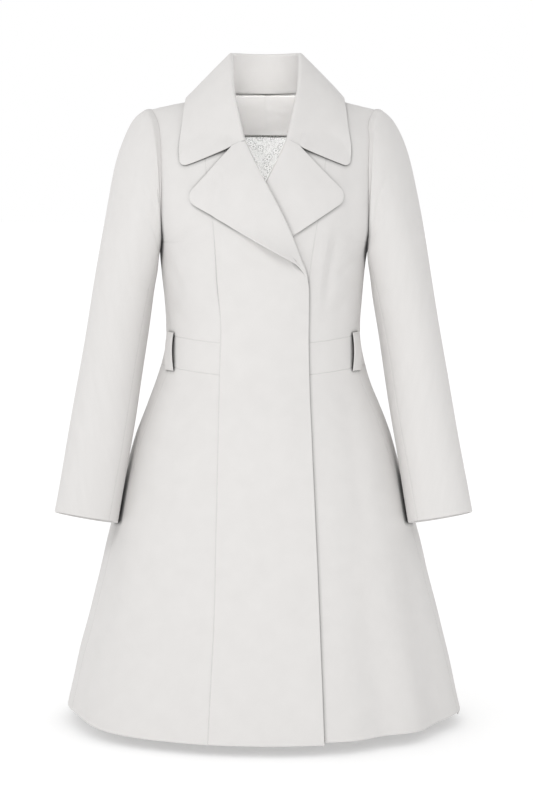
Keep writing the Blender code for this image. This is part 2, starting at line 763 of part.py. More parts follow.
def make_belt_loop(name, side):
    """Strip sewn at both ends over the waistband, standing off it between."""
    runs = np.linspace(0, 1, 11)
    z = LOOP_LOW_Z + (LOOP_TOP_Z - LOOP_LOW_Z) * runs
    stand = LOOP_WALL + LAYER_GAP + LOOP_STAND * np.sin(np.pi * runs) ** 0.7
    centre = np.radians(LOOP_DEG)
    spread = np.linspace(-0.5, 0.5, 4) * LOOP_WIDTH / 0.112
    z_grid = np.repeat(z[:, None], 4, axis=1)
    lift = np.repeat(stand[:, None], 4, axis=1)
    angle = side * (centre + np.repeat(spread[None, :], 11, axis=0))
    outer = coat(angle, z_grid, lift)
    inner = coat(angle, z_grid, lift - LOOP_WALL)
    add_wall(name, outer, inner, IVORY)


for word, hand in (("right", -1), ("left", 1)):
    make_centre_front("front_centre_" + word, hand)
    make_lapel("lapel_" + word, hand)
    make_side_front("front_side_" + word, hand)
    make_band_front("waistband_front_" + word, hand)
    make_skirt_front("skirt_front_" + word, hand)
    make_sleeve("sleeve_top_" + word, hand, HIND_SEAM_DEG - 360.0, FORE_SEAM_DEG)
    make_sleeve("sleeve_under_" + word, hand, FORE_SEAM_DEG, HIND_SEAM_DEG)
    make_belt_loop("belt_loop_" + word, hand)
    make_back_side(word, hand)
make_back_centre()
make_back_inside()
make_collar()
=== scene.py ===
"""Dressed look of a pale wool fit-and-flare overcoat that keeps its worn form.

Every piece is a thin cloth shell worked out on a grid of two parameters, in
metres, +X to the wearer's left, -Y to the front, +Z up.
"""

import bpy
import numpy as np
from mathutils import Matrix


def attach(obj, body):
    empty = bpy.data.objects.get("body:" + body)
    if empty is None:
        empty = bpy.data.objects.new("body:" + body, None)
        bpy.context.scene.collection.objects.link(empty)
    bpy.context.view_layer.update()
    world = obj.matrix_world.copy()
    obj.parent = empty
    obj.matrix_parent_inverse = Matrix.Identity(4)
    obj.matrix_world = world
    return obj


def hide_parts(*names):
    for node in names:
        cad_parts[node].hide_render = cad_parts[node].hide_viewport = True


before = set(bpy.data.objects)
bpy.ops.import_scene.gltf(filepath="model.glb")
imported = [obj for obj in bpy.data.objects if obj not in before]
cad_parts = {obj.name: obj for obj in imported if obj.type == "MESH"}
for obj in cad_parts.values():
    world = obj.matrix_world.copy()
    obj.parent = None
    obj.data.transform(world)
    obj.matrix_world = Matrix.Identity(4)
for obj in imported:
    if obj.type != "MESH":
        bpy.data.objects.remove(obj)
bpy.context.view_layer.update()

# Cloth
WALL = 0.0024
FACING_WALL = 0.0014
LINING_WALL = 0.0010
LAYER_GAP = 0.0006
LINING_DEPTH = WALL + 0.0014
FACING_DEPTH = LINING_DEPTH + LINING_WALL + 3 * LAYER_GAP
THREAD_STEP = 0.004
HALF_MILLIMETRE = 0.0005

# Heights of the seams
HEM_Z = -0.922
FRONT_HEMS = {"right": HEM_Z, "left": -0.919}
BAND_LOW_Z = -0.3945
BAND_TOP_Z = -0.3490
ARMPIT_Z = -0.213
BUST_Z = -0.190
BLADE_Z = -0.120
NECK_Z = 0.0055

# Edges: how far in the rows stand that round them, and how each side of a grid is finished
EDGE_STEPS = (0.0003, 0.0007, 0.0012, 0.0020, 0.0032)
EDGE_FLAT = 0.30
EDGE_ROUND = 0.6
SEWN = {"low": "seam", "right": "seam", "top": "seam", "left": "seam"}
HEMMED = dict(SEWN, low="free")
LOOSE = dict.fromkeys(SEWN, "free")

# Seams: dip and pucker beside them
SEAM_DIP = 0.0003
SOFT_DIP = 0.0002
SEAM_ROUND = 0.0016
PUCKER_RISE = 0.00014
PUCKER_REACH = 0.007
PUCKER_WAVES = 430
PUCKER_DRIFT = 83
PUCKER_TURN = 2.2
PUCKER_SLANT = (0.7, 0.5)
DRIFT_SLANT = 0.4

# Share of the gathered shade left at a soft seam above the armpit, and share taken off at the roll line
SOFT_SHADE = 0.15
SOFT_REACH = 0.020
SOFT_SHADE_Z = (ARMPIT_Z + 0.010, ARMPIT_Z + 0.045)
ROLL_LIGHT = 0.70
ROLL_REACH = 0.010
ROLL_LIGHT_Z = (-0.262, -0.235, -0.10, -0.08)

# About how wide or high the pieces run, which sets the number of threads in their grids
FRONT_WIDTH = 0.15
SIDE_WIDTH = 0.115
SKIRT_FRONT_WIDTH = 0.21
SKIRT_BACK_WIDTH = 0.24
BACK_WIDTH = 0.20
BAND_WIDTH = 0.40
INSIDE_WIDTH = 0.17
FACING_HEIGHT = 0.06
LAPEL_LENGTH = 0.26
LAPEL_WIDTH = 0.10
COLLAR_HALF = 0.21
STAND_HEIGHT = 0.06

# Rows from the bust to the shoulder, and the search for the height of the top one
RISE_ROWS = 58
RISE_RADIUS = 0.13
TOP_GUESS_Z = -0.01
TOP_ROUNDS = 60

# Facing and lining inside the back
FACING_LOW_Z = -0.0515
FACING_HALF = 0.085
FACING_RISE = 0.0024
FACING_FORWARD = 0.0022
FACING_CURL = 0.0014
FACING_CURL_END = 0.25
FACING_NEAR = 0.0022
FACING_NEAR_END = 0.85
STAND_X = (0.048, 0.058)
STAND_RISE = (0.6, 1.0)
LINING_HALF = 0.115
LINING_LOW_Z = BAND_TOP_Z + 0.004
LINING_TOP_Z = FACING_LOW_Z + 0.012

# Shoulder line
NECK_X = 0.0608
TIP_X = 0.164
SHOULDER_FALL = 0.2254
SHOULDER_Y = 0.012
FRONT_POWER = 1.8
BACK_POWER = 2.2
RIDGE_KEEP = 0.0015
RIDGE_START = 0.93

# Neck and lapels sit a little to the wearer's left, and so does the left armhole
NECK_SHIFT = 0.0036
NECK_SHIFT_Z = (-0.28, -0.14)
NECK_SHIFT_X = (0.10, 0.150)
ARMHOLE_SHIFT = 0.0055
ARMHOLE_SHIFT_Z = (-0.235, -0.195, -0.07, -0.03)
ARMHOLE_X = 0.150
ARMHOLE_WIDTH = 0.022

# Lap of the fronts, and room for the lapel and collar between them
LAP_LIFT = 0.0036
LAP_FADE_Z = (-0.125, -0.075)
LEAST_LAP = 0.05
MOST_LAP = 1.1
LAPEL_ROOM = 0.0022
LAPEL_ROOM_Z = (-0.320, -0.255, -0.125, -0.085)
LAPEL_ROOM_X = (-0.074, -0.058)
LAPEL_START_Z = -0.2672
GORGE_Z = -0.0648
ROLL_ROOM = 0.0078
ROLL_ROOM_RUN = 0.050
NECK_ROOM = 0.0042
NECK_ROOM_RUN = 0.02

# Outer sections of the coat: height, half width, depth to the front, depth to the back
SECTIONS = (
    (-0.922, 0.2995, 0.212, 0.216),
    (-0.850, 0.2835, 0.201, 0.205),
    (-0.755, 0.2594, 0.185, 0.190),
    (-0.648, 0.2327, 0.167, 0.173),
    (-0.550, 0.2060, 0.149, 0.158),
    (-0.495, 0.1893, 0.139, 0.149),
    (-0.450, 0.1725, 0.128, 0.138),
    (-0.420, 0.1603, 0.119, 0.126),
    (-0.390, 0.1510, 0.113, 0.113),
    (-0.360, 0.1455, 0.110, 0.103),
    (-0.330, 0.1448, 0.110, 0.099),
    (-0.300, 0.1469, 0.114, 0.100),
    (-0.270, 0.1497, 0.120, 0.104),
    (-0.240, 0.1525, 0.126, 0.109),
    (-0.213, 0.1560, 0.129, 0.114),
    (-0.190, 0.1625, 0.130, 0.118),
    (-0.160, 0.1680, 0.130, 0.121),
    (-0.110, 0.1750, 0.130, 0.122),
    (-0.060, 0.1790, 0.130, 0.122),
    (0.000, 0.1800, 0.130, 0.122),
    (0.030, 0.1800, 0.130, 0.122),
)

# Princess seam: height, distance from the centre
PRINCESS = (
    (-0.922, 0.0790),
    (-0.850, 0.0756),
    (-0.738, 0.0701),
    (-0.600, 0.0672),
    (-0.480, 0.0647),
    (-0.400, 0.0634),
    (-0.330, 0.0617),
    (-0.280, 0.0648),
    (-0.230, 0.0690),
    (-0.170, 0.0762),
    (-0.100, 0.0860),
    (0.000, 0.1000),
)

# Princess seam of the back: height, distance from the centre
BACK_PRINCESS = (
    (-0.922, 0.0900),
    (-0.750, 0.0800),
    (-0.600, 0.0710),
    (-0.480, 0.0630),
    (-0.400, 0.0575),
    (-0.345, 0.0560),
    (-0.280, 0.0610),
    (-0.200, 0.0745),
    (-0.120, 0.0910),
    (-0.060, 0.1010),
    (0.000, 0.1060),
)
BACK_NECK_SHARE = 0.2265

# Front edge, roll line and neck of one front: height, distance past the centre
FRONT_EDGE = (
    (-0.922, 0.0865),
    (-0.820, 0.0827),
    (-0.720, 0.0790),
    (-0.600, 0.0738),
    (-0.500, 0.0693),
    (-0.430, 0.0665),
    (-0.360, 0.0652),
    (-0.295, 0.0650),
    (-0.270, 0.0637),
    (-0.2534, 0.0600),
    (-0.2367, 0.0532),
    (-0.200, 0.0388),
    (-0.123, -0.0006),
    (-0.090, -0.0173),
    (-0.060, -0.0312),
    (-0.035, -0.0465),
    (-0.012, -0.0550),
    (0.0015, -0.0595),
    (0.0055, -0.0608),
)

# Side seam: height, degrees round from the centre front
SIDE_SEAM = (
    (-0.922, 77.0),
    (-0.650, 73.5),
    (-0.450, 68.0),
    (-0.370, 66.0),
    (-0.300, 77.0),
    (-0.213, 90.0),
)

# Armhole: height, distance from the centre on the front, and on the back
ARMHOLE = (
    (-0.2130, 0.1560, 0.1560),
    (-0.2085, 0.1535, 0.1545),
    (-0.2035, 0.1512, 0.1530),
    (-0.1970, 0.1500, 0.1518),
    (-0.1850, 0.1490, 0.1508),
    (-0.1500, 0.1480, 0.1500),
    (-0.1000, 0.1480, 0.1505),
    (-0.0600, 0.1500, 0.1530),
    (-0.0350, 0.1550, 0.1570),
    (-0.0178, 0.1640, 0.1640),
)

# Soft flutes of the skirt: degrees round from the centre front, width, depth at the hem
FLUTES = (
    (25.0, 7.0, 0.0050),
    (36.0, 6.0, -0.0045),
    (47.0, 7.0, 0.0060),
    (62.0, 8.0, -0.0052),
    (77.0, 8.0, 0.0018),
    (112.0, 9.0, -0.0060),
    (131.0, 9.0, 0.0070),
    (151.0, 8.0, -0.0060),
    (171.0, 9.0, 0.0055),
    (192.0, 8.0, -0.0065),
    (213.0, 9.0, 0.0060),
    (234.0, 8.0, -0.0055),
    (252.0, 9.0, 0.0060),
    (291.0, 10.0, -0.0040),
    (312.0, 14.0, 0.0035),
)
FLUTE_POWER = 1.4
FLUTE_RADIUS = 0.25

# Where the hem hangs higher: degrees round from the centre front, width, rise
HEM_RISES = (
    (-80.0, 24.0, 0.0085),
    (82.0, 16.0, 0.0030),
)
HEM_RISE_REACH = 0.16

# Fall of the waistband's edges towards the princess seam, and how far above and below it fades out
BAND_SAG = 0.0070
SAG_ABOVE = 0.10
SAG_BELOW = 0.12

# Creases of the coat: 1 front or -1 back, start across and height, end across and height, half width, rise
CREASES = (
    (1, 0.1040, -0.190, 0.0890, -0.300, 0.0085, -0.0032),
    (1, 0.0920, -0.195, 0.0800, -0.310, 0.0080, 0.0022),
    (1, 0.1440, -0.228, 0.1080, -0.262, 0.0070, -0.0016),
    (1, 0.1380, -0.268, 0.1060, -0.318, 0.0080, -0.0013),
    (1, -0.1440, -0.226, -0.1160, -0.285, 0.0075, -0.0017),
    (1, -0.1310, -0.228, -0.1080, -0.300, 0.0085, 0.0011),
    (1, -0.1400, -0.290, -0.1120, -0.338, 0.0070, -0.0012),
    (1, -0.1250, -0.120, -0.1180, -0.215, 0.0110, -0.0012),
    (1, 0.1240, -0.110, 0.1200, -0.205, 0.0120, -0.0013),
    (1, 0.0480, -0.330, 0.0300, -0.440, 0.0140, -0.0007),
    (1, -0.0200, -0.420, -0.0350, -0.620, 0.0200, 0.0008),
    (1, -0.1150, -0.420, -0.1420, -0.600, 0.0150, -0.0012),
    (1, 0.1180, -0.415, 0.1500, -0.640, 0.0140, -0.0022),
    (-1, 0.0300, -0.060, 0.0900, -0.110, 0.0100, -0.0013),
    (-1, -0.0250, -0.062, -0.0850, -0.118, 0.0110, -0.0012),
    (-1, 0.1380, -0.190, 0.1050, -0.250, 0.0090, -0.0018),
    (-1, -0.1390, -0.196, -0.1080, -0.262, 0.0085, -0.0016),
    (-1, 0.1280, -0.262, 0.0850, -0.318, 0.0080, -0.0014),
    (-1, -0.1220, -0.270, -0.0780, -0.322, 0.0080, -0.0015),
    (-1, 0.0480, -0.300, 0.0150, -0.336, 0.0065, -0.0011),
    (-1, -0.0400, -0.296, -0.0050, -0.330, 0.0070, -0.0012),
    (-1, 0.0350, -0.410, 0.0500, -0.560, 0.0130, -0.0014),
    (-1, -0.0300, -0.410, -0.0560, -0.600, 0.0140, -0.0015),
    (-1, 0.1100, -0.412, 0.1450, -0.580, 0.0130, -0.0016),
    (-1, -0.1120, -0.412, -0.1400, -0.560, 0.0140, -0.0014),
)
CREASE_SPAN = (-0.15, 0.30, 0.70, 1.15)
CREASE_SIDE = 0.25

# Slow unevenness of hanging cloth: waves per metre across and up, phase, rise
WANDER = (
    (5.1, 2.9, 0.4, 0.00045),
    (8.3, -4.7, 1.9, 0.00030),
    (2.2, 11.6, 2.7, 0.00022),
    (14.5, 6.1, 0.9, 0.00012),
)
WANDER_TURN = 2.0
DRAPE_FADE_Z = (-0.06, 0.0)

# Sleeve rings: upper end across and height, lower end across and height, centre, half depth
SLEEVE_RINGS = (
    (0.1655, -0.0172, 0.1572, -0.2120, 0.004, 0.0600),
    (0.1770, -0.0195, 0.1585, -0.2210, 0.003, 0.0640),
    (0.1935, -0.0360, 0.1590, -0.2330, 0.002, 0.0655),
    (0.2080, -0.0670, 0.1590, -0.2460, 0.001, 0.0650),
    (0.2210, -0.1100, 0.1595, -0.2620, 0.000, 0.0630),
    (0.2345, -0.1750, 0.1628, -0.2900, -0.001, 0.0600),
    (0.2500, -0.2650, 0.1698, -0.3380, -0.006, 0.0560),
    (0.2645, -0.3550, 0.1787, -0.4000, -0.018, 0.0520),
    (0.2800, -0.4450, 0.1890, -0.4700, -0.034, 0.0475),
    (0.2950, -0.5300, 0.2020, -0.5480, -0.051, 0.0430),
    (0.3083, -0.6060, 0.2146, -0.6220, -0.066, 0.0400),
)
FORE_SEAM_DEG = 139.85
HIND_SEAM_DEG = 308.75
CUFF_RUN = 10.0
CUFF_START = 7.6
CUFF_TILT = 0.0200
CUFF_BOW = 0.0025
CUFF_RISE = 0.0070
RUN_LENGTH = 0.061
TURN_RADIUS = 0.050
SLEEVE_SKEW = 0.0160
SKEW_RUN = (0.0, 2.0, 3.0, 7.0)
ARMHOLE_HOLD = 4.5
SLEEVE_WANDER = 0.0006
WANDER_RUN = (0.3, 2.0)
WANDER_ROUND = 1.9
WANDER_DOWN = 0.8
WANDER_START = 0.6
GATHER_RISE = 0.0007
GATHER_WAVES = 26
GATHER_DRIFT = 7
GATHER_TURN = 1.3
HEAD_RUN = (0.0, 0.25, 0.3, 1.8)
HEAD_TURN = (0.35, 0.85)

# Creases of the sleeves: 1 left or -1 right, start turn and run, end turn and run, half width, rise
SLEEVE_CREASES = (
    (1, 112.0, 2.4, 60.0, 3.1, 0.0085, -0.0007),
    (1, 128.0, 3.0, 70.0, 4.0, 0.0090, -0.0006),
    (1, 150.0, 5.2, 84.0, 5.7, 0.0070, -0.0015),
    (1, 158.0, 5.8, 92.0, 6.2, 0.0060, -0.0010),
    (1, 30.0, 3.4, 42.0, 6.6, 0.0150, -0.0012),
    (1, 96.0, 6.8, 104.0, 9.4, 0.0130, -0.0011),
    (1, 250.0, 4.6, 318.0, 5.3, 0.0080, -0.0017),
    (1, 246.0, 5.4, 312.0, 5.8, 0.0070, -0.0013),
    (1, 292.0, 2.2, 330.0, 3.3, 0.0100, -0.0014),
    (-1, 116.0, 2.2, 66.0, 3.0, 0.0090, -0.0007),
    (-1, 132.0, 2.9, 80.0, 3.7, 0.0085, -0.0006),
    (-1, 152.0, 5.0, 90.0, 5.6, 0.0075, -0.0013),
    (-1, 36.0, 3.0, 48.0, 6.2, 0.0150, -0.0010),
    (-1, 90.0, 7.0, 98.0, 9.2, 0.0140, -0.0010),
    (-1, 252.0, 4.8, 316.0, 5.5, 0.0080, -0.0016),
    (-1, 244.0, 5.6, 306.0, 6.1, 0.0075, -0.0012),
    (-1, 296.0, 2.4, 332.0, 3.6, 0.0100, -0.0013),
)

# Collar sections from the notch to the centre back: neck seam, fold and free edge, sag of the fall
COLLAR_SECTIONS = (
    (0.0293, -0.0865, -0.0710, 0.0275, -0.0955, -0.0648, 0.1225, -0.0780, -0.1030, -0.003),
    (0.0470, -0.0660, -0.0350, 0.0375, -0.0700, -0.0180, 0.1240, -0.0700, -0.0760, -0.006),
    (0.0550, -0.0440, -0.0110, 0.0430, -0.0500, 0.0080, 0.1210, -0.0540, -0.0445, 0.000),
    (0.0595, -0.0180, 0.0040, 0.0455, -0.0240, 0.0390, 0.1180, -0.0270, -0.0130, 0.002),
    (0.0600, 0.0120, 0.0075, 0.0465, 0.0020, 0.0605, 0.1150, 0.0140, 0.0005, 0.004),
    (0.0530, 0.0390, 0.0068, 0.0430, 0.0300, 0.0645, 0.1000, 0.0600, -0.0105, 0.006),
    (0.0300, 0.0580, 0.0064, 0.0250, 0.0500, 0.0650, 0.0600, 0.0830, -0.0190, 0.006),
    (0.0000, 0.0635, 0.0064, 0.0000, 0.0570, 0.0650, 0.0000, 0.0960, -0.0200, 0.006),
)
COLLAR_END = 7.0
COLLAR_DROP = 0.102
COLLAR_PLACE = 0.027
COLLAR_ROUND = 0.0100
COLLAR_STAND_OFF = 0.0019
FOLD_RADIUS = 0.0042
FOLD_STEPS = 13
NOTCH_SHARE = 0.19
NOTCH_LIFT = 0.0040
NOTCH_FALL = (NOTCH_SHARE - 0.01, NOTCH_SHARE + 0.03, 0.23, 0.45)
END_LIFT = 0.0011
END_FALL = (0.30, 0.60)
END_PLACE = 0.5

# Lapel outlines seen from the front: foot, bend, tip and notch, and the rounding of bend and tip
LAPEL_OUTLINES = {
    "right": ((0.0632, -0.2665), (0.0520, -0.2440), (-0.1154, -0.1496), (-0.0485, -0.0747)),
    "left": ((0.0632, -0.2665), (0.0300, -0.2480), (-0.1187, -0.1476), (-0.0480, -0.0747)),
}
LAPEL_ROUNDS = {"right": (0.060, 0.015), "left": (0.020, 0.015)}

# Spacing of a lapel's rows: share of the roll line, share of the outline
LAPEL_PACE = ((0.0, 0.0), (0.10, 0.063), (0.22, 0.197), (0.47, 0.60), (0.64, 0.72), (1.0, 1.0))
LAPEL_POWER = 0.9
ARC_POINTS = 31

# Turn of the lapel at the roll line: step, distance in from the roll, lift off the front
LAPEL_TURN = (
    (0.0, 0.0034, 0.0002),
    (1.0, 0.0015, 0.0003),
    (2.0, 0.0004, 0.0006),
    (3.0, 0.0000, 0.0010),
    (4.0, 0.0016, 0.0015),
    (5.0, 0.0054, 0.0018),
    (6.0, 0.0110, 0.0019),
)
TURN_COLUMNS = 25
ROLL_COLUMN = 12
TURN_WIDTH = 0.016
TURN_LEAST = 0.2
TURN_MOST = 0.8
LEAST_SLANT = 0.6
LEAST_FLAT = 0.0004
LAPEL_FLAT = 0.0022
FLAT_POWER = 1.5
LAPEL_WALL = 0.0026

# Foot, spring and tip of the lapel, by shares of its rows
FOOT_RUN = (0.0, 0.16)
FOOT_SHARE = 0.35
FOOT_SINK = 0.0012
SINK_RUN = (0.07, 0.20)
PRESSED = 0.5
SEEN_RUN = (0.50, 0.70)
LAPEL_SPRING = 0.0140
SPRING_ROW = 0.235
SPRING_WIDTH = 0.10
SPRING_POWER = 1.5
TIP_CURL = 0.0016
CURL_ROW = 0.56
CURL_WIDTH = 0.10
CURL_POWER = 3
LAPEL_END = (0.9, 1.0)

# Belt loops at the side seams
LOOP_WIDTH = 0.020
LOOP_TOP_Z = -0.3445
LOOP_LOW_Z = -0.4006
LOOP_STAND = 0.0036
LOOP_POWER = 0.7
LOOP_INNER_X = 0.1300
LOOP_RADIUS = 0.112
LOOP_WALL = 0.0020

# Wool: rib, nap and mottling, and its ramps from a low and high to a low and high
WOOL_RIB = 0.0011
WOOL_FILL = 1.9
WOOL_PALE = (0.742, 0.727, 0.714, 1.0)
WOOL_DEEP = (0.706, 0.691, 0.678, 1.0)
FILL_SHARE = 0.5
RIB_SHARE = 0.22
NAP_WAVES = 1400.0
NAP_DETAIL = 3.0
MOTTLE_WAVES = 34.0
MOTTLE_DETAIL = 5.0
FIBRE_RAMP = (0.3, 0.7, 0.0, 0.45)
CLOUD_RAMP = (0.3, 0.7, 0.0, 0.55)
WOOL_ROUGH_RAMP = (0.2, 0.8, 0.82, 0.96)
WOOL_BUMP = (0.30, 0.00025)

# Satin: bent map, flowers, petals and stems, and its ramps
FLOWER_STEP = 0.015
SATIN_PALE = (0.88, 0.88, 0.87, 1.0)
SATIN_DEEP = (0.42, 0.42, 0.41, 1.0)
BEND_WAVES = 130.0
BEND_DETAIL = 2.0
BEND_PULL = 0.0045
FLOWER_SCATTER = 0.8
PETALS = 6.0
PETAL_WAVE = 0.07
PETAL_RADIUS = 0.30
STEM_WAVES = 2.6
STEM_DETAIL = 1.0
STEM_BANDS = 9.0
OUTLINE_RAMP = (0.015, 0.055, 1.0, 0.0)
HEART_RAMP = (0.07, 0.12, 0.9, 0.0)
STEM_RAMP = (0.05, 0.16, 0.85, 0.0)
GROUND_RAMP = (0.0, 0.06, 0.0, 1.0)
SATIN_ROUGH_RAMP = (0.0, 1.0, 0.36, 0.62)
SATIN_BUMP = (0.3, 0.0003)

# Gathered shade where cloth lies close to cloth
SHADE_REACH = 0.0065
SHADE_FULL = 0.27
SHADE_LEAST = 0.124
SHADE_RAYS = 8

# Floor, daylight and camera
FLOOR_DROP = 0.0155
FLOOR_REACH = 30.0
FLOOR_COLOUR = (0.75, 0.75, 0.75, 1.0)
FLOOR_GLOW = 0.34
FLOOR_LIGHT = 0.80
FLOOR_LIGHT_DEG = 150.0
WHITE = (1.0, 1.0, 1.0, 1.0)
LIGHT_LEFT = 0.88
LIGHT_RIGHT = 0.615
LIGHT_WAY = (0.92, 0.0, 0.30)
CAMERA_PLACE = (0.0048, -3.0, -0.11)
CAMERA_FALL = 0.34
CAMERA_LENS = 90.585
CAMERA_SENSOR = 36.0

# Lamps: words in the names of the pieces they light, then name, place, target, size, power, spread
LAMPS = (
    (("wool", "lining"),
     ("key", (-0.95, -2.8, 1.90), (0.0, 0.0, -0.50), 1.0, 30.5, 180.0)),
    (("wool", "lining"),
     ("low_fill", (0.70, -2.6, -0.45), (0.12, 0.0, -0.74), 0.9, 0.47, 46.0)),
    (("neck_facing", "wool_back_centre"),
     ("facing_light", (0.010, -0.020, -0.030), (0.004, 0.063, -0.010), 0.050, 0.082, 180.0)),
    (("collar",),
     ("stand_light", (0.032, -0.012, 0.015), (-0.045, 0.030, 0.030), 0.030, 0.027, 180.0)),
    (("lining",),
     ("lining_light", (0.004, -0.100, 0.035), (0.004, 0.085, -0.075), 0.070, 0.51, 180.0)),
)

# Cloth pieces in the order they are made
PIECES = []


def smooth(rows, column, at):
    """Cubic through one column of a table whose first column rises."""
    table = np.array(rows, dtype=float)
    knots = table[:, 0]
    values = table[:, column]
    slopes = np.gradient(values, knots)
    at = np.asarray(at, dtype=float)
    i = np.clip(np.searchsorted(knots, at) - 1, 0, len(knots) - 2)
    step = knots[i + 1] - knots[i]
    t = np.clip((at - knots[i]) / step, 0.0, 1.0)
    start = (1 + 2 * t) * (1 - t) ** 2 * values[i] + t * (1 - t) ** 2 * step * slopes[i]
    return start + t ** 2 * (3 - 2 * t) * values[i + 1] + t ** 2 * (t - 1) * step * slopes[i + 1]


def ease(low, high, at):
    """Soft step from 0 at low to 1 at high."""
    t = np.clip((np.asarray(at, dtype=float) - low) / (high - low), 0.0, 1.0)
    return t * t * (3 - 2 * t)


def span(limits, at):
    """Soft rise from 0 to 1 between the first two limits and soft fall between the last two."""
    low, full, falling, gone = limits
    return ease(low, full, at) * (1 - ease(falling, gone, at))


def bell(away, width):
    """Bell curve that is 1 in the middle."""
    return np.exp(-(away / width) ** 2)


def half_turn(degrees):
    """Degrees brought between -180 and 180."""
    return (degrees + 180.0) % 360.0 - 180.0


def unit(vectors):
    return vectors / np.linalg.norm(vectors, axis=-1, keepdims=True)


def shoulder_height(x):
    return NECK_Z - SHOULDER_FALL * (np.abs(x) - NECK_X)


def half_width(z):
    return smooth(SECTIONS, 1, z)


def front_edge(z):
    return smooth(FRONT_EDGE, 1, z)


def bells_round(rows, angle, z):
    """Sum of bells round the coat, each with its centre and width in degrees and its height."""
    total = np.zeros(np.broadcast(angle, z).shape)
    for centre, width, height in rows:
        total = total + height * bell(half_turn(np.degrees(angle) - centre), width)
    return total


def flute(angle, z):
    """Bell-shaped ridges and troughs round the skirt that swell from the waist to the hem."""
    run = np.clip((BAND_LOW_Z - z) / (BAND_LOW_Z - HEM_Z), 0.0, 1.0) ** FLUTE_POWER
    return bells_round(FLUTES, angle, z) * run


def hem_rise(angle, z):
    """Bell-shaped lift of the hem at the sides, fading out up the skirt."""
    return bells_round(HEM_RISES, angle, z) * ease(HEM_Z + HEM_RISE_REACH, HEM_Z, z)


def crease(across, up, way_across, way_up, width, rise):
    """Bell-shaped section along a line from the origin, whose height fades in and out along it."""
    length = np.hypot(way_across, way_up)
    along = (across * way_across + up * way_up) / length ** 2
    beside = (up * way_across - across * way_up) / length
    return rise * bell(beside, width) * span(CREASE_SPAN, along)


def drape(angle, z):
    """Creases and slow unevenness of the coat, as a lift along its normal."""
    x = half_width(z) * np.sin(angle)
    facing = np.cos(angle)
    total = np.zeros(x.shape)
    for face, x0, z0, x1, z1, width, rise in CREASES:
        fold = crease(x - x0, z - z0, x1 - x0, z1 - z0, width, rise)
        total = total + fold * ease(0.0, CREASE_SIDE, face * facing)
    for waves_x, waves_z, phase, rise in WANDER:
        total = total + rise * np.sin(2 * np.pi * (waves_x * x + waves_z * z) + phase + WANDER_TURN * facing)
    return total * (1 - ease(*DRAPE_FADE_Z, z))


def bare_coat(angle, z):
    """Outer face of the coat: an oval at each height that closes to the shoulder line."""
    angle, z = np.broadcast_arrays(np.asarray(angle, dtype=float), np.asarray(z, dtype=float))
    x = half_width(z) * np.sin(angle)
    front = np.cos(angle) > 0
    depth = np.where(front, smooth(SECTIONS, 2, z), smooth(SECTIONS, 3, z))
    power = np.where(front, FRONT_POWER, BACK_POWER)
    level = np.where(front, BUST_Z, BLADE_Z)
    climb = np.clip((z - level) / (shoulder_height(x) - level), 0.0, 1.0)
    fullness = (1 - climb ** power) ** (1 / power)
    low_y = -depth * np.cos(angle)
    y = np.where(z > level, SHOULDER_Y + (low_y - SHOULDER_Y) * fullness, low_y)
    swell = 1 + flute(angle, z) / FLUTE_RADIUS
    return np.stack([x * swell, y * swell, z], axis=-1), climb


def coat(angle, z, lift=0.0):
    """Point of the draped outer face moved out along the normal by the lift."""
    angle, z, lift = np.broadcast_arrays(
        np.asarray(angle, dtype=float), np.asarray(z, dtype=float), np.asarray(lift, dtype=float))
    z = z + hem_rise(angle, z)
    point, climb = bare_coat(angle, z)
    low = np.minimum(z, shoulder_height(point[..., 0]) - RIDGE_KEEP)
    step = 0.0004
    round_way = bare_coat(angle + step, low)[0] - bare_coat(angle - step, low)[0]
    up_way = bare_coat(angle, low + step)[0] - bare_coat(angle, low - step)[0]
    normal = unit(np.cross(round_way, up_way))
    slope = np.sign(point[..., 0]) * SHOULDER_FALL
    ridge = unit(np.stack([slope, np.zeros_like(slope), np.ones_like(slope)], axis=-1))
    share = ease(RIDGE_START, 1.0, climb)[..., None]
    normal = unit(normal * (1 - share) + ridge * share)
    return point + normal * (lift + drape(angle, z))[..., None]


def angle_of(x, z):
    """Angle round from the centre front of a point on the front half."""
    return np.arcsin(np.clip(x / half_width(z), -1.0, 1.0))


def side_angle(z):
    return np.radians(smooth(SIDE_SEAM, 1, z))


def princess_angle(z):
    return angle_of(smooth(PRINCESS, 1, z), z)


def back_seam_angle(z):
    return np.pi - angle_of(smooth(BACK_PRINCESS, 1, z), z)


def armhole_angle(z, column):
    across = smooth(ARMHOLE, column, np.maximum(z, ARMPIT_Z))
    return angle_of(across, np.maximum(z, ARMPIT_Z))


def front_side_angle(z):
    """Side seam below the armpit and front armhole above it."""
    return np.where(z < ARMPIT_Z, side_angle(z), armhole_angle(z, 1))


def back_side_angle(z):
    """Side seam below the armpit and back armhole above it."""
    return np.where(z < ARMPIT_Z, side_angle(z), np.pi - armhole_angle(z, 2))


def front_opening(z):
    """Free edge of a front, set back where the lapel and the collar turn over it."""
    across = front_edge(z)
    room = ROLL_ROOM * ease(LAPEL_START_Z, LAPEL_START_Z + ROLL_ROOM_RUN, z)
    room = room + (NECK_ROOM - ROLL_ROOM) * ease(GORGE_Z, GORGE_Z + NECK_ROOM_RUN, z)
    return across - room


def lap_share(x, z):
    """0 at the front's own princess seam, 1 at its free edge, x counted past the centre."""
    seam = smooth(PRINCESS, 1, z)
    edge = np.maximum(front_edge(z), LEAST_LAP)
    return np.clip((x + seam) / (seam + edge), 0.0, MOST_LAP)


def lap_lift(x, z, side):
    """Right front rises over the left front and its lapel, left front sinks under."""
    share = lap_share(x, z) * (1 - ease(*LAP_FADE_Z, z))
    if side > 0:
        return -LAP_LIFT * share
    return LAP_LIFT * share + LAPEL_ROOM * span(LAPEL_ROOM_Z, z) * ease(*LAPEL_ROOM_X, x)


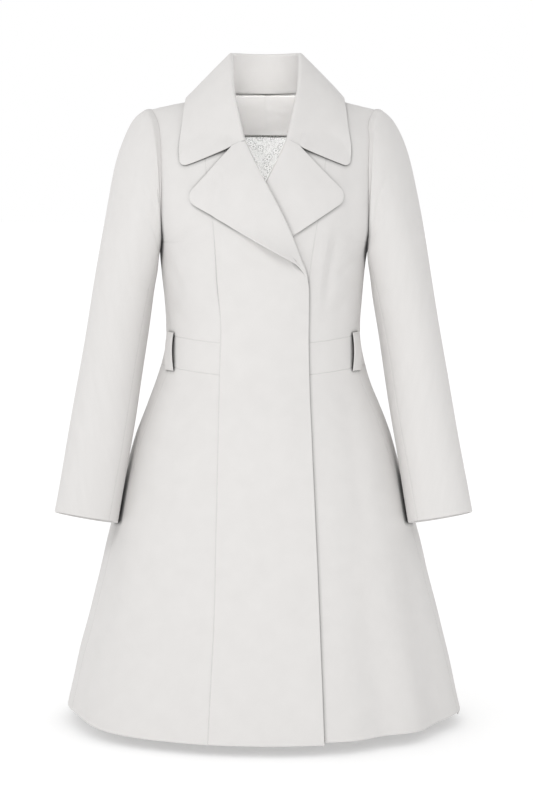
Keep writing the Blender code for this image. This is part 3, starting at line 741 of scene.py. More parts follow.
def set_over(points):
    """Shift the neck, lapels and left armhole sideways, fading out round each of them."""
    x, z = points[..., 0], points[..., 2]
    neck = ease(*NECK_SHIFT_Z, z) * (1 - ease(*NECK_SHIFT_X, np.abs(x)))
    armhole = bell(x - ARMHOLE_X, ARMHOLE_WIDTH) * span(ARMHOLE_SHIFT_Z, z)
    shift = NECK_SHIFT * neck + ARMHOLE_SHIFT * armhole
    return points + np.stack([shift, 0 * shift, 0 * shift], axis=-1)


def run_lengths(points, axis):
    """Distance along one way of a grid, from its first line."""
    steps = np.linalg.norm(np.diff(points, axis=axis), axis=-1)
    start = np.zeros_like(np.take(steps, [0], axis=axis))
    return np.concatenate([start, np.cumsum(steps, axis=axis)], axis=axis)


def shares(length, first=True, last=True):
    """Shares from 0 to 1, a thread step apart, with a few more close to each finished edge."""
    near = np.array(EDGE_STEPS) / length
    parts = [np.linspace(0, 1, max(4, int(round(length / THREAD_STEP)) + 1))]
    if first:
        parts.append(near)
    if last:
        parts.append(1 - near)
    return np.unique(np.round(np.concatenate(parts), 6))


def wobble(points):
    """Uneven ripple that both sides of a seam share."""
    x, y, z = points[..., 0], points[..., 1], points[..., 2]
    slant_x, slant_y = PUCKER_SLANT
    drift = PUCKER_TURN * np.sin(PUCKER_DRIFT * (x - z + DRIFT_SLANT * y))
    return np.sin(PUCKER_WAVES * (z + slant_x * x + slant_y * y) + drift)


def finished_edges(middle, away, edges, wall):
    """Half thickness outside and inside, ripple, and share of the shade over a grid.

    The half thickness falls on a quarter circle at a free edge. At a seam only the
    outer face dips, with a small ripple beside it. away gives the distance from the
    low, right, top and left side, and edges names them free, seam or soft seam.
    """
    x, y, z = middle[..., 0], middle[..., 1], middle[..., 2]
    outer = np.ones(z.shape) * wall / 2
    inner = np.ones(z.shape) * wall / 2
    ripple = np.zeros(z.shape)
    rolled = span(ROLL_LIGHT_Z, z) * (y < 0)
    shade = np.ones(z.shape)
    for edge, kind in edges.items():
        if kind == "free":
            t = np.clip(away[edge] / (EDGE_ROUND * wall), 0.0, 1.0)
            full = EDGE_FLAT + (1 - EDGE_FLAT) * np.sqrt(1 - (1 - t) ** 2)
            outer = np.minimum(outer, wall / 2 * full)
            inner = np.minimum(inner, wall / 2 * full)
            continue
        dip = SEAM_DIP if kind == "seam" else SOFT_DIP
        outer = np.minimum(outer, wall / 2 - dip * (1 - ease(0.0, SEAM_ROUND, away[edge])))
        ripple = np.maximum(ripple, bell(away[edge], PUCKER_REACH))
        if kind == "soft":
            least = SOFT_SHADE + (1 - SOFT_SHADE) * (1 - ease(*SOFT_SHADE_Z, z))
            shade = np.minimum(shade, least + (1 - least) * ease(0.0, SOFT_REACH, away[edge]))
    shade = shade * (1 - ROLL_LIGHT * rolled * bell(x - front_edge(z), ROLL_REACH))
    return outer, inner, ripple, shade


def shell_faces(rows, columns):
    """Quads of the outer face, of the inner face turned round, and of the rim between them."""
    under = rows * columns
    index = np.arange(under).reshape(rows, columns)
    corners = [index[:-1, :-1], index[:-1, 1:], index[1:, 1:], index[1:, :-1]]
    quads = np.stack(corners, axis=-1).reshape(-1, 4)
    rim = np.concatenate([index[0, :-1], index[:-1, -1], index[-1, :0:-1], index[:0:-1, 0]])
    ahead = np.roll(rim, -1)
    band = np.stack([ahead, rim, rim + under, ahead + under], axis=-1)
    return np.concatenate([quads, quads[:, ::-1] + under, band])


def add_object(name, data):
    thing = bpy.data.objects.new(name, data)
    bpy.context.scene.collection.objects.link(thing)
    return thing


def sew(piece, cut, node):
    """Let a cloth piece stand for its solid and ride with the coat."""
    width, length, area = cut
    width = round(width + HALF_MILLIMETRE, 3)
    length = round(length + HALF_MILLIMETRE, 3)
    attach(piece, "root")
    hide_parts(node)


def add_cloth(node, middle, normal, edges, slot_name="wool", wall=WALL, joined=0.0):
    """Closed shell on both sides of a middle face, its edges finished, sewn into the coat.

    Its grain map is the run of each row from the middle column and of each column from
    the first row. joined is above 0 in the rows whose ends run on into another piece.
    """
    along = run_lengths(middle, 1)
    up = run_lengths(middle, 0)
    away = {"low": up, "right": along[:, -1:] - along + joined, "top": up[-1:] - up, "left": along + joined}
    outer, inner, ripple, shade = finished_edges(middle, away, edges, wall)
    middle = middle + normal * (PUCKER_RISE * ripple * wobble(middle))[..., None]
    faces_out = (middle + normal * outer[..., None]).reshape(-1, 3)
    faces_in = (middle - normal * inner[..., None]).reshape(-1, 3)
    points = set_over(np.concatenate([faces_out, faces_in]))
    faces = shell_faces(*shade.shape)
    face_way = np.cross(middle[1:-1, 2:] - middle[1:-1, :-2], middle[2:, 1:-1] - middle[:-2, 1:-1])
    if np.sum(face_way * normal[1:-1, 1:-1]) < 0:
        faces = faces[:, ::-1]
    name = slot_name + "_" + node
    mesh = bpy.data.meshes.new(name)
    mesh.from_pydata(points.tolist(), [], faces.tolist())
    centre = along[:, along.shape[1] // 2][:, None]
    flat = np.stack([along - centre, up], axis=-1).reshape(-1, 2)
    flat = np.concatenate([flat, flat])
    layer = mesh.uv_layers.new(name="grain")
    layer.data.foreach_set("uv", flat[faces.ravel()].ravel().astype(np.float32))
    layer = mesh.attributes.new("shade", "FLOAT", "POINT")
    layer.data.foreach_set("value", np.tile(shade.ravel(), 2).astype(np.float32))
    mesh.materials.append(FINISHES[slot_name])
    mesh.polygons.foreach_set("use_smooth", np.ones(len(faces), dtype=bool))
    mesh.update()
    piece = add_object(name, mesh)
    PIECES.append(piece)
    rising = middle[1:, 1:] - middle[:-1, :-1]
    falling = middle[1:, :-1] - middle[:-1, 1:]
    area = 0.5 * np.linalg.norm(np.cross(rising, falling), axis=-1).sum()
    sew(piece, (along.max(), up.max(), area), node)


def coat_panel(node, angle, z, edges, lift=0.0, slot_name="wool", wall=WALL):
    """Shell of the coat's own surface over a grid of angles and heights."""
    face = coat(angle, z, lift)
    back = coat(angle, z, lift - wall)
    add_cloth(node, (face + back) / 2, unit(face - back), edges, slot_name, wall)


def heights(low, high, first=True, last=True):
    return low + (high - low) * shares(high - low, first, last)


def level_rows(levels, share):
    return np.repeat(levels[:, None], len(share), axis=1)


def between(start_angle, end_angle, z, share):
    """Angle at a share of the way from one seam to the other at each height."""
    return start_angle(z) + (end_angle(z) - start_angle(z)) * share


def rise_shares():
    """Eased shares of the rise from the bust to the shoulder, closer together at the seam."""
    near = 90 - np.degrees(np.array(EDGE_STEPS) / RISE_RADIUS)
    turns = np.concatenate([np.linspace(0, 90, RISE_ROWS), near])
    return np.sin(np.radians(np.unique(np.round(turns, 5))))


def raised_grid(start_angle, end_angle, share, low_z, top_z=shoulder_height):
    """Grid of angles and heights from low_z whose top row lies on the line given by top_z(x)."""
    top = np.full(share.shape, TOP_GUESS_Z)
    for _ in range(TOP_ROUNDS):
        x = half_width(top) * np.sin(between(start_angle, end_angle, top, share))
        top = 0.5 * top + 0.5 * top_z(x)
    z = np.concatenate([
        level_rows(heights(low_z, BUST_Z, last=False)[:-1], share),
        BUST_Z + (top[None, :] - BUST_Z) * rise_shares()[:, None]])
    return between(start_angle, end_angle, z, share), z


def flat_grid(start_angle, end_angle, share, low_z, high_z):
    """Grid of angles and heights with level rows."""
    z = level_rows(heights(low_z, high_z), share)
    return between(start_angle, end_angle, z, share), z


def make_centre_front(word, side):
    """Centre front from hem to shoulder, between its princess seam and its free edge."""
    def seam(z):
        return -princess_angle(z)

    def edge(z):
        return angle_of(front_opening(z), z)

    angle, z = raised_grid(seam, edge, shares(FRONT_WIDTH), FRONT_HEMS[word])
    lift = lap_lift(half_width(z) * np.sin(angle), z, side)
    edges = dict(HEMMED, right="free")
    coat_panel("front_centre_" + word, -side * angle, z, edges, lift)


def sagged(z, share):
    """Grid of a side front let down towards the princess seam, most at the waistband."""
    hold = ease(BAND_TOP_Z + SAG_ABOVE, BAND_TOP_Z, z) * ease(BAND_LOW_Z - SAG_BELOW, BAND_LOW_Z, z)
    z = z - BAND_SAG * hold * (1 - share)
    return between(princess_angle, front_side_angle, z, share), z


def make_side_front(word, side):
    """Bodice side, waistband insert and skirt side of one front."""
    share = shares(SIDE_WIDTH)
    angle, z = sagged(raised_grid(princess_angle, front_side_angle, share, BAND_TOP_Z)[1], share)
    coat_panel("front_side_" + word, side * angle, z, dict(SEWN, right="soft"))
    angle, z = sagged(level_rows(heights(BAND_LOW_Z, BAND_TOP_Z), share), share)
    coat_panel("waistband_front_" + word, side * angle, z, SEWN)
    share = shares(SKIRT_FRONT_WIDTH)
    angle, z = sagged(level_rows(heights(FRONT_HEMS[word], BAND_LOW_Z), share), share)
    coat_panel("skirt_front_" + word, side * angle, z, HEMMED)


def make_back_side(word, side):
    """Back from side seam and armhole to princess seam, above and below the waistband."""
    angle, z = raised_grid(back_side_angle, back_seam_angle, shares(SIDE_WIDTH), BAND_TOP_Z)
    coat_panel("back_side_" + word, side * angle, z, dict(SEWN, left="soft"))
    angle, z = flat_grid(back_side_angle, back_seam_angle, shares(SKIRT_BACK_WIDTH), HEM_Z, BAND_LOW_Z)
    coat_panel("skirt_back_" + word, side * angle, z, HEMMED)


def make_back_centre():
    """Back between its princess seams, and the waistband from side seam to side seam."""
    def far_seam(z):
        return 2 * np.pi - back_seam_angle(z)

    def far_side(z):
        return 2 * np.pi - side_angle(z)

    def top_line(x):
        return np.minimum(NECK_Z, shoulder_height(x))

    share = np.concatenate([shares(BACK_WIDTH), [BACK_NECK_SHARE, 1 - BACK_NECK_SHARE]])
    share = np.unique(np.round(share, 6))
    angle, z = raised_grid(back_seam_angle, far_seam, share, BAND_TOP_Z, top_line)
    coat_panel("back_centre", angle, z, SEWN)
    angle, z = flat_grid(side_angle, far_side, shares(BAND_WIDTH), BAND_LOW_Z, BAND_TOP_Z)
    coat_panel("waistband_back", angle, z, SEWN)
    angle, z = flat_grid(back_seam_angle, far_seam, shares(BACK_WIDTH), HEM_Z, BAND_LOW_Z)
    coat_panel("skirt_back_centre", angle, z, HEMMED)


def across_back(half, z, share):
    """Angles across the back between two lines at one distance from its centre."""
    right = np.pi - angle_of(np.full(z.shape, half), z)
    return right + (2 * np.pi - 2 * right) * share


def make_back_inside():
    """Neck facing and patterned lining on the inside of the back, seen through the open neck."""
    edges = {"low": "free", "top": "soft"}
    share = shares(INSIDE_WIDTH)
    rise = shares(FACING_HEIGHT)[:, None]
    top = np.minimum(NECK_Z, shoulder_height(FACING_HALF * (1 - 2 * share)) - LAYER_GAP)
    z = FACING_LOW_Z + (top - FACING_LOW_Z) * rise
    curl = FACING_CURL * (1 - ease(0.0, FACING_CURL_END, rise)) ** 2
    depth = -(FACING_DEPTH + curl) + FACING_NEAR * ease(0.0, FACING_NEAR_END, rise)
    middle = coat(across_back(FACING_HALF, z, share), z, depth - FACING_WALL / 2)
    under_stand = (1 - ease(*STAND_X, np.abs(middle[..., 0]))) * ease(*STAND_RISE, rise)
    middle[..., 1] -= FACING_FORWARD * under_stand
    middle[..., 2] += FACING_RISE * under_stand
    normal = unit(np.cross(np.gradient(middle, axis=1), np.gradient(middle, axis=0)))
    add_cloth("back_neck_facing", middle, normal, edges, wall=FACING_WALL)
    z = level_rows(heights(LINING_LOW_Z, LINING_TOP_Z), share)
    coat_panel("back_lining", across_back(LINING_HALF, z, share), z, edges,
               -LINING_DEPTH, "lining", LINING_WALL)


def armhole_ring(turn):
    """Armhole edge of the coat, turn 0 at the shoulder tip and a quarter turn at the front."""
    middle = (ARMPIT_Z + shoulder_height(TIP_X)) / 2
    reach = (shoulder_height(TIP_X) - ARMPIT_Z) / 2
    z = middle + reach * np.cos(turn)
    front = np.sin(turn) >= 0
    angle = np.where(front, armhole_angle(z, 1), np.pi - armhole_angle(z, 2))
    return coat(angle, z)


def sleeve_ring(values, turn):
    """Slanted oval through its upper and lower end, with its centre and half depth along Y."""
    upper_x, upper_z, lower_x, lower_z, centre_y, half_depth = values
    x = (upper_x + lower_x) / 2 + (upper_x - lower_x) / 2 * np.cos(turn)
    y = centre_y - half_depth * np.sin(turn)
    z = (upper_z + lower_z) / 2 + (upper_z - lower_z) / 2 * np.cos(turn)
    return np.stack([x, y, z], axis=-1)


def sleeve_face(turn, run):
    """Outer face of a sleeve, slanted ovals down the arm that grow out of the armhole."""
    turn, run = np.broadcast_arrays(np.asarray(turn, dtype=float), np.asarray(run, dtype=float))
    rings = [(i,) + row for i, row in enumerate(SLEEVE_RINGS)]
    oval = sleeve_ring([smooth(rings, column, run) for column in range(1, 7)], turn)
    fall = CUFF_TILT * (1 - np.sin(turn)) / 2 + CUFF_BOW * np.clip(np.sin(turn), 0.0, 1.0) ** 2
    oval[..., 0] -= SLEEVE_SKEW * np.sin(turn) * span(SKEW_RUN, run)
    oval[..., 2] += (CUFF_RISE - fall) * ease(CUFF_START, CUFF_RUN, run)
    hold = np.clip(1 - run / ARMHOLE_HOLD, 0.0, 1.0) ** 2
    return oval + hold[..., None] * (armhole_ring(turn) - sleeve_ring(SLEEVE_RINGS[0], turn))


def sleeve_rise(turn, run, side):
    """Creases of a sleeve and the small gathers eased into its head."""
    total = np.zeros(np.broadcast(turn, run).shape)
    for hand, turn0, run0, turn1, run1, width, rise in SLEEVE_CREASES:
        if hand != side:
            continue
        around = np.radians(half_turn(np.degrees(turn) - turn0)) * TURN_RADIUS
        way_around = np.radians(half_turn(turn1 - turn0)) * TURN_RADIUS
        down = (run - run0) * RUN_LENGTH
        way_down = (run1 - run0) * RUN_LENGTH
        total = total + crease(around, down, way_around, way_down, width, rise)
    head = span(HEAD_RUN, run) * ease(*HEAD_TURN, np.cos(turn))
    gather = np.sin(GATHER_WAVES * turn + GATHER_TURN * np.sin(GATHER_DRIFT * turn)) * head
    slow = np.sin(2 * turn + WANDER_ROUND * run + side) * np.sin(WANDER_DOWN * run + WANDER_START)
    return total + GATHER_RISE * gather + SLEEVE_WANDER * slow * ease(*WANDER_RUN, run)


def make_sleeve(node, side, first_deg, last_deg):
    """Part of a sleeve between two seams, from the armhole to the cuff."""
    width = np.radians(last_deg - first_deg) * TURN_RADIUS
    turns = np.radians(first_deg + (last_deg - first_deg) * shares(width))
    runs = CUFF_RUN * shares(CUFF_RUN * RUN_LENGTH)
    run, turn = np.meshgrid(runs, turns, indexing="ij")
    step = 0.002
    round_way = sleeve_face(turn + step, run) - sleeve_face(turn - step, run)
    below = np.minimum(run + step, CUFF_RUN)
    above = np.maximum(run - step, 0)
    down_way = sleeve_face(turn, below) - sleeve_face(turn, above)
    normal = unit(np.cross(round_way, down_way))
    lift = sleeve_rise(turn, run, side) - WALL / 2
    middle = sleeve_face(turn, run) + normal * lift[..., None]
    mirror = np.array([side, 1.0, 1.0])
    edges = dict(SEWN, low="soft", top="free")
    add_cloth(node, middle * mirror, normal * mirror, edges)


def rounded_path(corners, rounds, samples):
    """Points shared by length along straight lines whose inner corners are rounded off."""
    corners = [np.array(corner) for corner in corners]
    share = np.linspace(0, 1, ARC_POINTS)[:, None]
    path = [corners[0][None]]
    for before, corner, after, radius in zip(corners, corners[1:], corners[2:], rounds):
        back = unit(before - corner)
        ahead = unit(after - corner)
        half = np.arccos(np.clip(np.dot(back, ahead), -1, 1)) / 2
        centre = corner + unit(back + ahead) * radius / np.sin(half)
        start = corner + back * radius / np.tan(half) - centre
        end = corner + ahead * radius / np.tan(half) - centre
        sweep = np.pi - 2 * half
        arc = np.sin((1 - share) * sweep) * start + np.sin(share * sweep) * end
        path.append(centre + arc / np.sin(sweep))
    path = np.concatenate(path + [corners[-1][None]])
    length = np.concatenate([[0], np.cumsum(np.linalg.norm(np.diff(path, axis=0), axis=1))])
    at = np.asarray(samples) * length[-1]
    return np.stack([np.interp(at, length, path[:, k]) for k in range(2)], axis=-1)


def make_lapel(word, side):
    """Lapel turned back over its front: a hook round the roll line, then flat to its outline.

    The hook closes up and the flat part narrows to nothing at the foot, where the
    lower edge runs on into the front edge. Two bells along the rows spring the flat
    part off the front above the foot and curl its tip.
    """
    share = shares(LAPEL_LENGTH)
    roll_z = LAPEL_START_Z + (GORGE_Z - LAPEL_START_Z) * share ** LAPEL_POWER
    roll = np.stack([front_edge(roll_z), roll_z], axis=-1)
    along = np.interp(share, *np.transpose(LAPEL_PACE))
    free = rounded_path(LAPEL_OUTLINES[word], LAPEL_ROUNDS[word], along)
    reach = np.linalg.norm(free - roll, axis=-1)[:, None]
    way = unit(free - roll)
    roll_way = unit(np.gradient(roll, axis=0))
    slant = np.abs(roll_way[:, 0] * way[:, 1] - roll_way[:, 1] * way[:, 0])
    slant = np.clip(slant, LEAST_SLANT, 1.0)[:, None]
    row = share[:, None]
    foot = ease(*FOOT_RUN, row)
    sunk = 1 - ease(*SINK_RUN, row)
    wall = LAPEL_WALL * (FOOT_SHARE + (1 - FOOT_SHARE) * foot)
    hook = np.linspace(0, LAPEL_TURN[-1][0], TURN_COLUMNS)
    narrow = np.clip((reach - wall) / TURN_WIDTH, TURN_LEAST, 1.0)
    tucked = (wall + smooth(LAPEL_TURN, 1, hook) * narrow) / slant
    tucked = tucked * np.minimum(1.0, TURN_MOST * reach / tucked[:, -1:])
    flat = shares(LAPEL_WIDTH, first=False)[1:]
    spread = tucked[:, -1:] + np.maximum(reach - tucked[:, -1:], LEAST_FLAT) * flat
    distance = np.concatenate([tucked, spread], axis=1)
    hook_rise = smooth(LAPEL_TURN, 2, hook)
    flat_rise = LAPEL_FLAT + (hook_rise[-1] - LAPEL_FLAT) * (1 - flat) ** FLAT_POWER
    rise = np.concatenate([hook_rise, flat_rise])
    roll_at = tucked[:, ROLL_COLUMN:ROLL_COLUMN + 1]
    out = np.clip((distance - roll_at) / (reach - roll_at), 0.0, 1.0)
    out[:, :ROLL_COLUMN + 1] = 0.0
    seen = 1.0 if side < 0 else ease(*SEEN_RUN, row)
    rise = rise * foot * (PRESSED + (1 - PRESSED) * seen) - FOOT_SINK * (1 - foot) - wall * sunk * out
    spring = LAPEL_SPRING * bell(row - SPRING_ROW, SPRING_WIDTH) * (1 - sunk) * out ** SPRING_POWER
    curl = TIP_CURL * bell(row - CURL_ROW, CURL_WIDTH) * out ** CURL_POWER
    points = roll[:, None, :] + way[:, None, :] * distance[..., None]
    x, z = points[..., 0], points[..., 1]
    lift = lap_lift(x, z, side) + rise + (spring + curl) * seen * (1 - ease(*LAPEL_END, row))
    under = coat(angle_of(-side * x, z), z, lift)
    normal = side * unit(np.cross(np.gradient(under, axis=1), np.gradient(under, axis=0)))
    edges = {"low": "free", "right": "free"}
    middle = under + normal * wall[..., None] / 2
    add_cloth("lapel_" + word, middle, normal, edges, wall=wall)


def clear_of_coat(points, lift):
    """Push points forward or back until they lie off the coat's outer face."""
    x, y, z = points[..., 0], points[..., 1], points[..., 2]
    under = np.minimum(z, shoulder_height(x) - HALF_MILLIMETRE)
    ahead = coat(angle_of(x, under), under, lift)
    behind = coat(np.pi - angle_of(x, under), under, lift)
    low = z < shoulder_height(x) + lift
    front = np.where(low & (y < SHOULDER_Y), np.minimum(y, ahead[..., 1]), y)
    pushed = np.where(low & (y >= SHOULDER_Y), np.maximum(front, behind[..., 1]), front)
    return np.stack([x, pushed, z], axis=-1)


def collar_frame(place):
    """Neck seam, fold, edge and sag of the collar at places counted from the centre back."""
    starts = (0, 3, 6)
    turned = [value * (-1 if c in starts else 1) for c, value in enumerate(COLLAR_SECTIONS[-2])]
    table = [(i,) + tuple(row) for i, row in enumerate(COLLAR_SECTIONS + (tuple(turned),))]
    side = np.where(place < 0, -1.0, 1.0)
    columns = [smooth(table, c, COLLAR_END - np.abs(place)) for c in range(1, 11)]
    flip = np.stack([side, np.ones_like(side), np.ones_like(side)], axis=-1)
    return [np.stack(columns[k:k + 3], axis=-1) * flip for k in starts] + [columns[9]]


def make_collar():
    """Collar: straight up the stand, a round fold, and down the fall on a sagging curve.

    The places along the collar close in towards the free edge on a quarter circle,
    which rounds its two front corners.
    """
    half = COLLAR_END * shares(COLLAR_HALF, first=False)
    place = np.concatenate([-half[:0:-1], half])
    rows = []
    joined = []
    near_end = ease(COLLAR_END - END_PLACE, COLLAR_END, np.abs(place))
    stand = shares(STAND_HEIGHT, last=False)[:-1]
    fold_turns = np.linspace(0, 1, FOLD_STEPS)[:-1]
    fall = shares(COLLAR_DROP, first=False)
    for kind, steps in (("stand", stand), ("fold", fold_turns), ("fall", fall)):
        for t in steps:
            joined.append(0.0 if kind == "fall" and t > NOTCH_SHARE else 1.0)
            at = place
            if kind == "fall":
                past = np.clip((t - 1) * COLLAR_DROP + COLLAR_ROUND, 0.0, COLLAR_ROUND)
                inset = (COLLAR_ROUND - np.sqrt(COLLAR_ROUND ** 2 - past ** 2)) / COLLAR_PLACE
                at = place * (COLLAR_END - inset) / COLLAR_END
            neck, fold, edge, sag = collar_frame(at)
            up = unit(fold - neck)
            out = edge - fold
            out = unit(out - up * np.sum(out * up, axis=-1, keepdims=True))
            centre = fold - up * FOLD_RADIUS + out * FOLD_RADIUS
            down = unit(edge - fold)
            sweep = np.pi - np.arctan2(np.sum(down * out, axis=-1), -np.sum(down * up, axis=-1))
            if kind == "stand":
                rows.append(neck + (fold - up * FOLD_RADIUS - neck) * t)
                continue
            bend = (sweep * (t if kind == "fold" else 1.0))[..., None]
            begin = centre + FOLD_RADIUS * (up * np.sin(bend) - out * np.cos(bend))
            if kind == "fold":
                rows.append(begin)
                continue
            middle = (begin + edge) / 2
            middle[..., 2] += sag
            point = (1 - t) ** 2 * begin + 2 * t * (1 - t) * middle + t ** 2 * edge
            end_lift = END_LIFT * (1 - ease(*END_FALL, t)) + NOTCH_LIFT * span(NOTCH_FALL, t)
            rows.append(clear_of_coat(point, WALL + COLLAR_STAND_OFF + near_end * end_lift))
    face = np.stack(rows, axis=0)
    normal = -unit(np.cross(np.gradient(face, axis=0), np.gradient(face, axis=1)))
    add_cloth("collar", face - normal * WALL / 2, normal, dict(LOOSE, low="soft"),
              joined=np.array(joined)[:, None])


def make_belt_loop(word, side):
    """Strip sewn at both ends over the waistband, standing off it between on half a sine wave."""
    runs = shares(LOOP_TOP_Z - LOOP_LOW_Z)
    levels = LOOP_LOW_Z + (LOOP_TOP_Z - LOOP_LOW_Z) * runs
    stand = LOOP_WALL + LAYER_GAP + LOOP_STAND * np.sin(np.pi * runs) ** LOOP_POWER
    spread = shares(LOOP_WIDTH) * LOOP_WIDTH / LOOP_RADIUS
    z = level_rows(levels, spread)
    angle = side * (angle_of(LOOP_INNER_X, z) + spread)
    coat_panel("belt_loop_" + word, angle, z, LOOSE,
               level_rows(stand, spread), wall=LOOP_WALL)


def feed(tree, node, inputs):
    """Set a node's inputs to numbers and colours, or link them to outputs of other nodes."""
    for socket, value in inputs.items():
        if isinstance(value, bpy.types.NodeSocket):
            tree.links.new(value, node.inputs[socket])
        else:
            node.inputs[socket].default_value = value


def add_node(tree, kind, inputs, **settings):
    """New shader node, placed beside the others on the node sheet."""
    node = tree.nodes.new("ShaderNode" + kind)
    node.location = (-200 * len(tree.nodes), 0)
    for name, value in settings.items():
        setattr(node, name, value)
    feed(tree, node, inputs)
    return node


def ramp(tree, value, low, high, to_low, to_high):
    """A value carried from one span to another and held at its ends."""
    spans = {"Value": value, "From Min": low, "From Max": high, "To Min": to_low, "To Max": to_high}
    return add_node(tree, "MapRange", spans, clamp=True).outputs[0]


def maths(tree, operation, *values):
    return add_node(tree, "Math", dict(enumerate(values)), operation=operation).outputs[0]


def vector_maths(tree, operation, inputs):
    return add_node(tree, "VectorMath", inputs, operation=operation).outputs[0]


def noise(tree, place, waves, detail, output="Fac"):
    inputs = {"Vector": place, "Scale": waves, "Detail": detail}
    return add_node(tree, "TexNoise", inputs).outputs[output]


def mixed(tree, share, first, second, blend_type="MIX"):
    inputs = {0: share, 6: first, 7: second}
    return add_node(tree, "Mix", inputs, data_type="RGBA", blend_type=blend_type).outputs[2]


def bumped(tree, height, strength, distance):
    inputs = {"Height": height, "Strength": strength, "Distance": distance}
    return add_node(tree, "Bump", inputs).outputs[0]


def gathered_shade(tree, colour):
    """Colour darkened where cloth lies close to cloth, in seams, folds and under edges."""
    close = add_node(tree, "AmbientOcclusion", {"Distance": SHADE_REACH}, samples=SHADE_RAYS).outputs["AO"]
    share = add_node(tree, "Attribute", {}, attribute_name="shade").outputs["Fac"]
    depth = ramp(tree, close, SHADE_FULL, 1.0, SHADE_LEAST, 1.0)
    return mixed(tree, share, colour, depth, "MULTIPLY")


def new_finish(name):
    """New material, its node tree and its shader."""
    material = bpy.data.materials.new(name)
    material.use_nodes = True
    return material, material.node_tree, material.node_tree.nodes["Principled BSDF"]


def wool_finish():
    """Ivory wool coating: twill ribs and a fine nap in the bump, faint mottling in the colour."""
    material, tree, shader = new_finish("wool_coating")
    grain = add_node(tree, "UVMap", {}, uv_map="grain").outputs["UV"]
    across, length, _ = add_node(tree, "SeparateXYZ", {0: grain}).outputs
    rib_step = 2 * np.pi / WOOL_RIB
    rib = maths(tree, "SINE", maths(tree, "MULTIPLY", maths(tree, "ADD", across, length), rib_step))
    fill = maths(tree, "SINE", maths(tree, "MULTIPLY", length, rib_step * WOOL_FILL))
    weave = maths(tree, "ADD", rib, maths(tree, "MULTIPLY", fill, FILL_SHARE))
    nap = noise(tree, grain, NAP_WAVES, NAP_DETAIL)
    mottle = noise(tree, grain, MOTTLE_WAVES, MOTTLE_DETAIL)
    fibre = ramp(tree, nap, *FIBRE_RAMP)
    cloud = ramp(tree, mottle, *CLOUD_RAMP)
    tint = mixed(tree, maths(tree, "ADD", fibre, cloud), WOOL_DEEP, WOOL_PALE)
    relief = maths(tree, "ADD", maths(tree, "MULTIPLY", weave, RIB_SHARE), nap)
    feed(tree, shader, {
        "Base Color": gathered_shade(tree, tint),
        "Roughness": ramp(tree, nap, *WOOL_ROUGH_RAMP),
        "Normal": bumped(tree, relief, *WOOL_BUMP),
        "Specular IOR Level": 0.18,
        "Sheen Weight": 0.22,
        "Sheen Roughness": 0.45,
    })
    return material


def satin_finish():
    """White satin lining with a tone-on-tone flower: outlined petals, hearts and curling stems.

    Flowers sit in scattered cells of a bent map. A petal's rim waves with the turn round
    its cell. Stems follow bands of a noise outside the petals.
    """
    material, tree, shader = new_finish("satin_lining")
    grain = add_node(tree, "UVMap", {}, uv_map="grain").outputs["UV"]
    bend = noise(tree, grain, BEND_WAVES, BEND_DETAIL, "Color")
    pull = vector_maths(tree, "SCALE", {0: bend, "Scale": BEND_PULL})
    bent = vector_maths(tree, "ADD", {0: grain, 1: pull})
    place = vector_maths(tree, "SCALE", {0: bent, "Scale": 1.0 / FLOWER_STEP})
    scatter = {"Vector": place, "Scale": 1.0, "Randomness": FLOWER_SCATTER}
    cells = add_node(tree, "TexVoronoi", scatter, voronoi_dimensions="2D")
    local = vector_maths(tree, "SUBTRACT", {0: place, 1: cells.outputs["Position"]})
    across, length, _ = add_node(tree, "SeparateXYZ", {0: local}).outputs
    radius = cells.outputs["Distance"]
    turn = maths(tree, "ARCTAN2", length, across)
    wave = maths(tree, "COSINE", maths(tree, "MULTIPLY", turn, PETALS))
    petal = maths(tree, "ADD", maths(tree, "MULTIPLY", wave, PETAL_WAVE), PETAL_RADIUS)
    gap = maths(tree, "SUBTRACT", radius, petal)
    outline = ramp(tree, maths(tree, "ABSOLUTE", gap), *OUTLINE_RAMP)
    heart = ramp(tree, radius, *HEART_RAMP)
    curls = noise(tree, place, STEM_WAVES, STEM_DETAIL)
    bands = maths(tree, "FRACT", maths(tree, "MULTIPLY", curls, STEM_BANDS))
    off_band = maths(tree, "ABSOLUTE", maths(tree, "SUBTRACT", bands, 0.5))
    stems = ramp(tree, off_band, *STEM_RAMP)
    leaves = maths(tree, "MULTIPLY", stems, ramp(tree, gap, *GROUND_RAMP))
    motif = maths(tree, "MAXIMUM", maths(tree, "MAXIMUM", outline, heart), leaves)
    feed(tree, shader, {
        "Base Color": gathered_shade(tree, mixed(tree, motif, SATIN_PALE, SATIN_DEEP)),
        "Roughness": ramp(tree, motif, *SATIN_ROUGH_RAMP),
        "Normal": bumped(tree, motif, *SATIN_BUMP),
        "Specular IOR Level": 0.40,
        "Sheen Weight": 0.10,
    })
    return material


def light_only(light, things):
    """Let a light fall only on the given things."""
    lit = bpy.data.collections.new("lit_by_" + light.name)
    for thing in things:
        lit.objects.link(thing)
    light.light_linking.receiver_collection = lit


def add_lamp(name, place, target, size, power, spread):
    """Round lamp at a place, turned to face a target, that the camera doesn't see."""
    lamp = bpy.data.lights.new(name, "AREA")
    lamp.shape = "DISK"
    lamp.size = size
    lamp.energy = power
    lamp.spread = np.radians(spread)
    light = add_object(name, lamp)
    light.location = place
    light.visible_camera = False
    aim = np.array(target) - np.array(place)
    tilt = np.arctan2(np.hypot(aim[0], aim[1]), -aim[2])
    turn = np.arctan2(aim[1], aim[0]) - np.pi / 2
    light.rotation_euler = (tilt, 0.0, turn)
    return light


def light_coat():
    """Key from the front left, weak low fill from the right, small lamps in the open neck."""
    for words, settings in LAMPS:
        lit = [piece for piece in PIECES if any(word in piece.name for word in words)]
        light_only(add_lamp(*settings), lit)


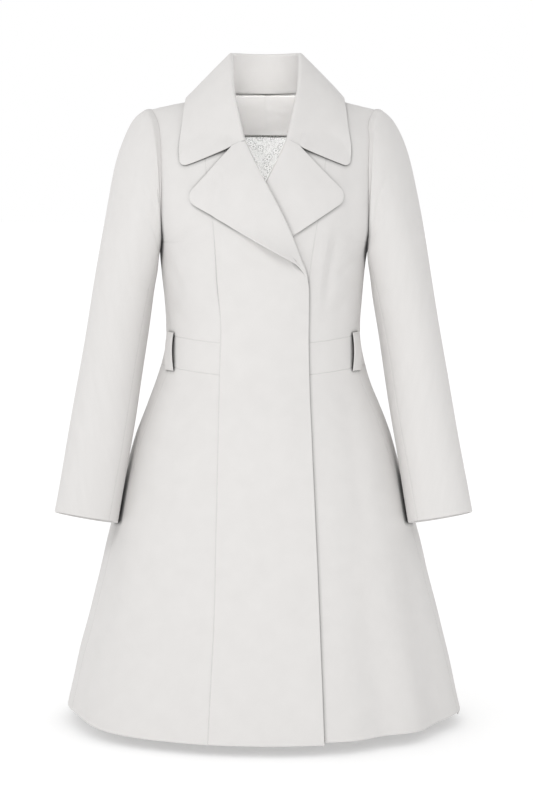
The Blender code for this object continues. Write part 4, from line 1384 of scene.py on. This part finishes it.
def make_floor():
    """White floor under the hem with a soft light of its own from overhead."""
    z = HEM_Z - FLOOR_DROP
    corners = [(x * FLOOR_REACH, y * FLOOR_REACH, z) for x, y in ((-1, -1), (1, -1), (1, 1), (-1, 1))]
    mesh = bpy.data.meshes.new("floor")
    mesh.from_pydata(corners, [], [(0, 1, 2, 3)])
    floor = add_object("floor", mesh)
    material, tree, shader = new_finish("white_floor")
    feed(tree, shader, {
        "Base Color": FLOOR_COLOUR,
        "Roughness": 0.9,
        "Specular IOR Level": 0.0,
        "Emission Color": WHITE,
        "Emission Strength": FLOOR_GLOW,
    })
    mesh.materials.append(material)
    overhead = bpy.data.lights.new("floor_light", "SUN")
    overhead.energy = FLOOR_LIGHT
    overhead.angle = np.radians(FLOOR_LIGHT_DEG)
    light_only(add_object("floor_light", overhead), [floor])


def make_daylight():
    """White daylight that weakens from the left to the right, seen evenly white by the camera."""
    world = bpy.data.worlds.new("studio")
    world.use_nodes = True
    tree = world.node_tree
    way = add_node(tree, "TexCoord", {}).outputs["Generated"]
    across = add_node(tree, "VectorMath", {0: way, 1: LIGHT_WAY}, operation="DOT_PRODUCT")
    fall = ramp(tree, across.outputs["Value"], -1.0, 1.0, LIGHT_LEFT, LIGHT_RIGHT)
    seen = add_node(tree, "LightPath", {}).outputs["Is Camera Ray"]
    strength = add_node(tree, "Mix", {0: seen, 2: fall, 3: 1.0}, data_type="FLOAT").outputs[0]
    feed(tree, tree.nodes["Background"], {"Color": WHITE, "Strength": strength})
    bpy.context.scene.world = world


def make_camera():
    """Camera in front of the coat, tilted down to its middle."""
    camera_data = bpy.data.cameras.new("camera")
    camera_data.lens = CAMERA_LENS
    camera_data.sensor_width = CAMERA_SENSOR
    camera = add_object("camera", camera_data)
    camera.location = CAMERA_PLACE
    camera.rotation_euler = (np.pi / 2 - np.arctan2(CAMERA_FALL, -CAMERA_PLACE[1]), 0.0, 0.0)
    bpy.context.scene.camera = camera
    bpy.context.scene.view_settings.view_transform = "Standard"


FINISHES = {"wool": wool_finish(), "lining": satin_finish()}

make_floor()
make_daylight()
make_camera()
for word, hand in (("right", -1), ("left", 1)):
    make_centre_front(word, hand)
    make_lapel(word, hand)
    make_side_front(word, hand)
    make_back_side(word, hand)
    make_sleeve("sleeve_top_" + word, hand, HIND_SEAM_DEG - 360.0, FORE_SEAM_DEG)
    make_sleeve("sleeve_under_" + word, hand, FORE_SEAM_DEG, HIND_SEAM_DEG)
    make_belt_loop(word, hand)
make_back_centre()
make_back_inside()
make_collar()
light_coat()
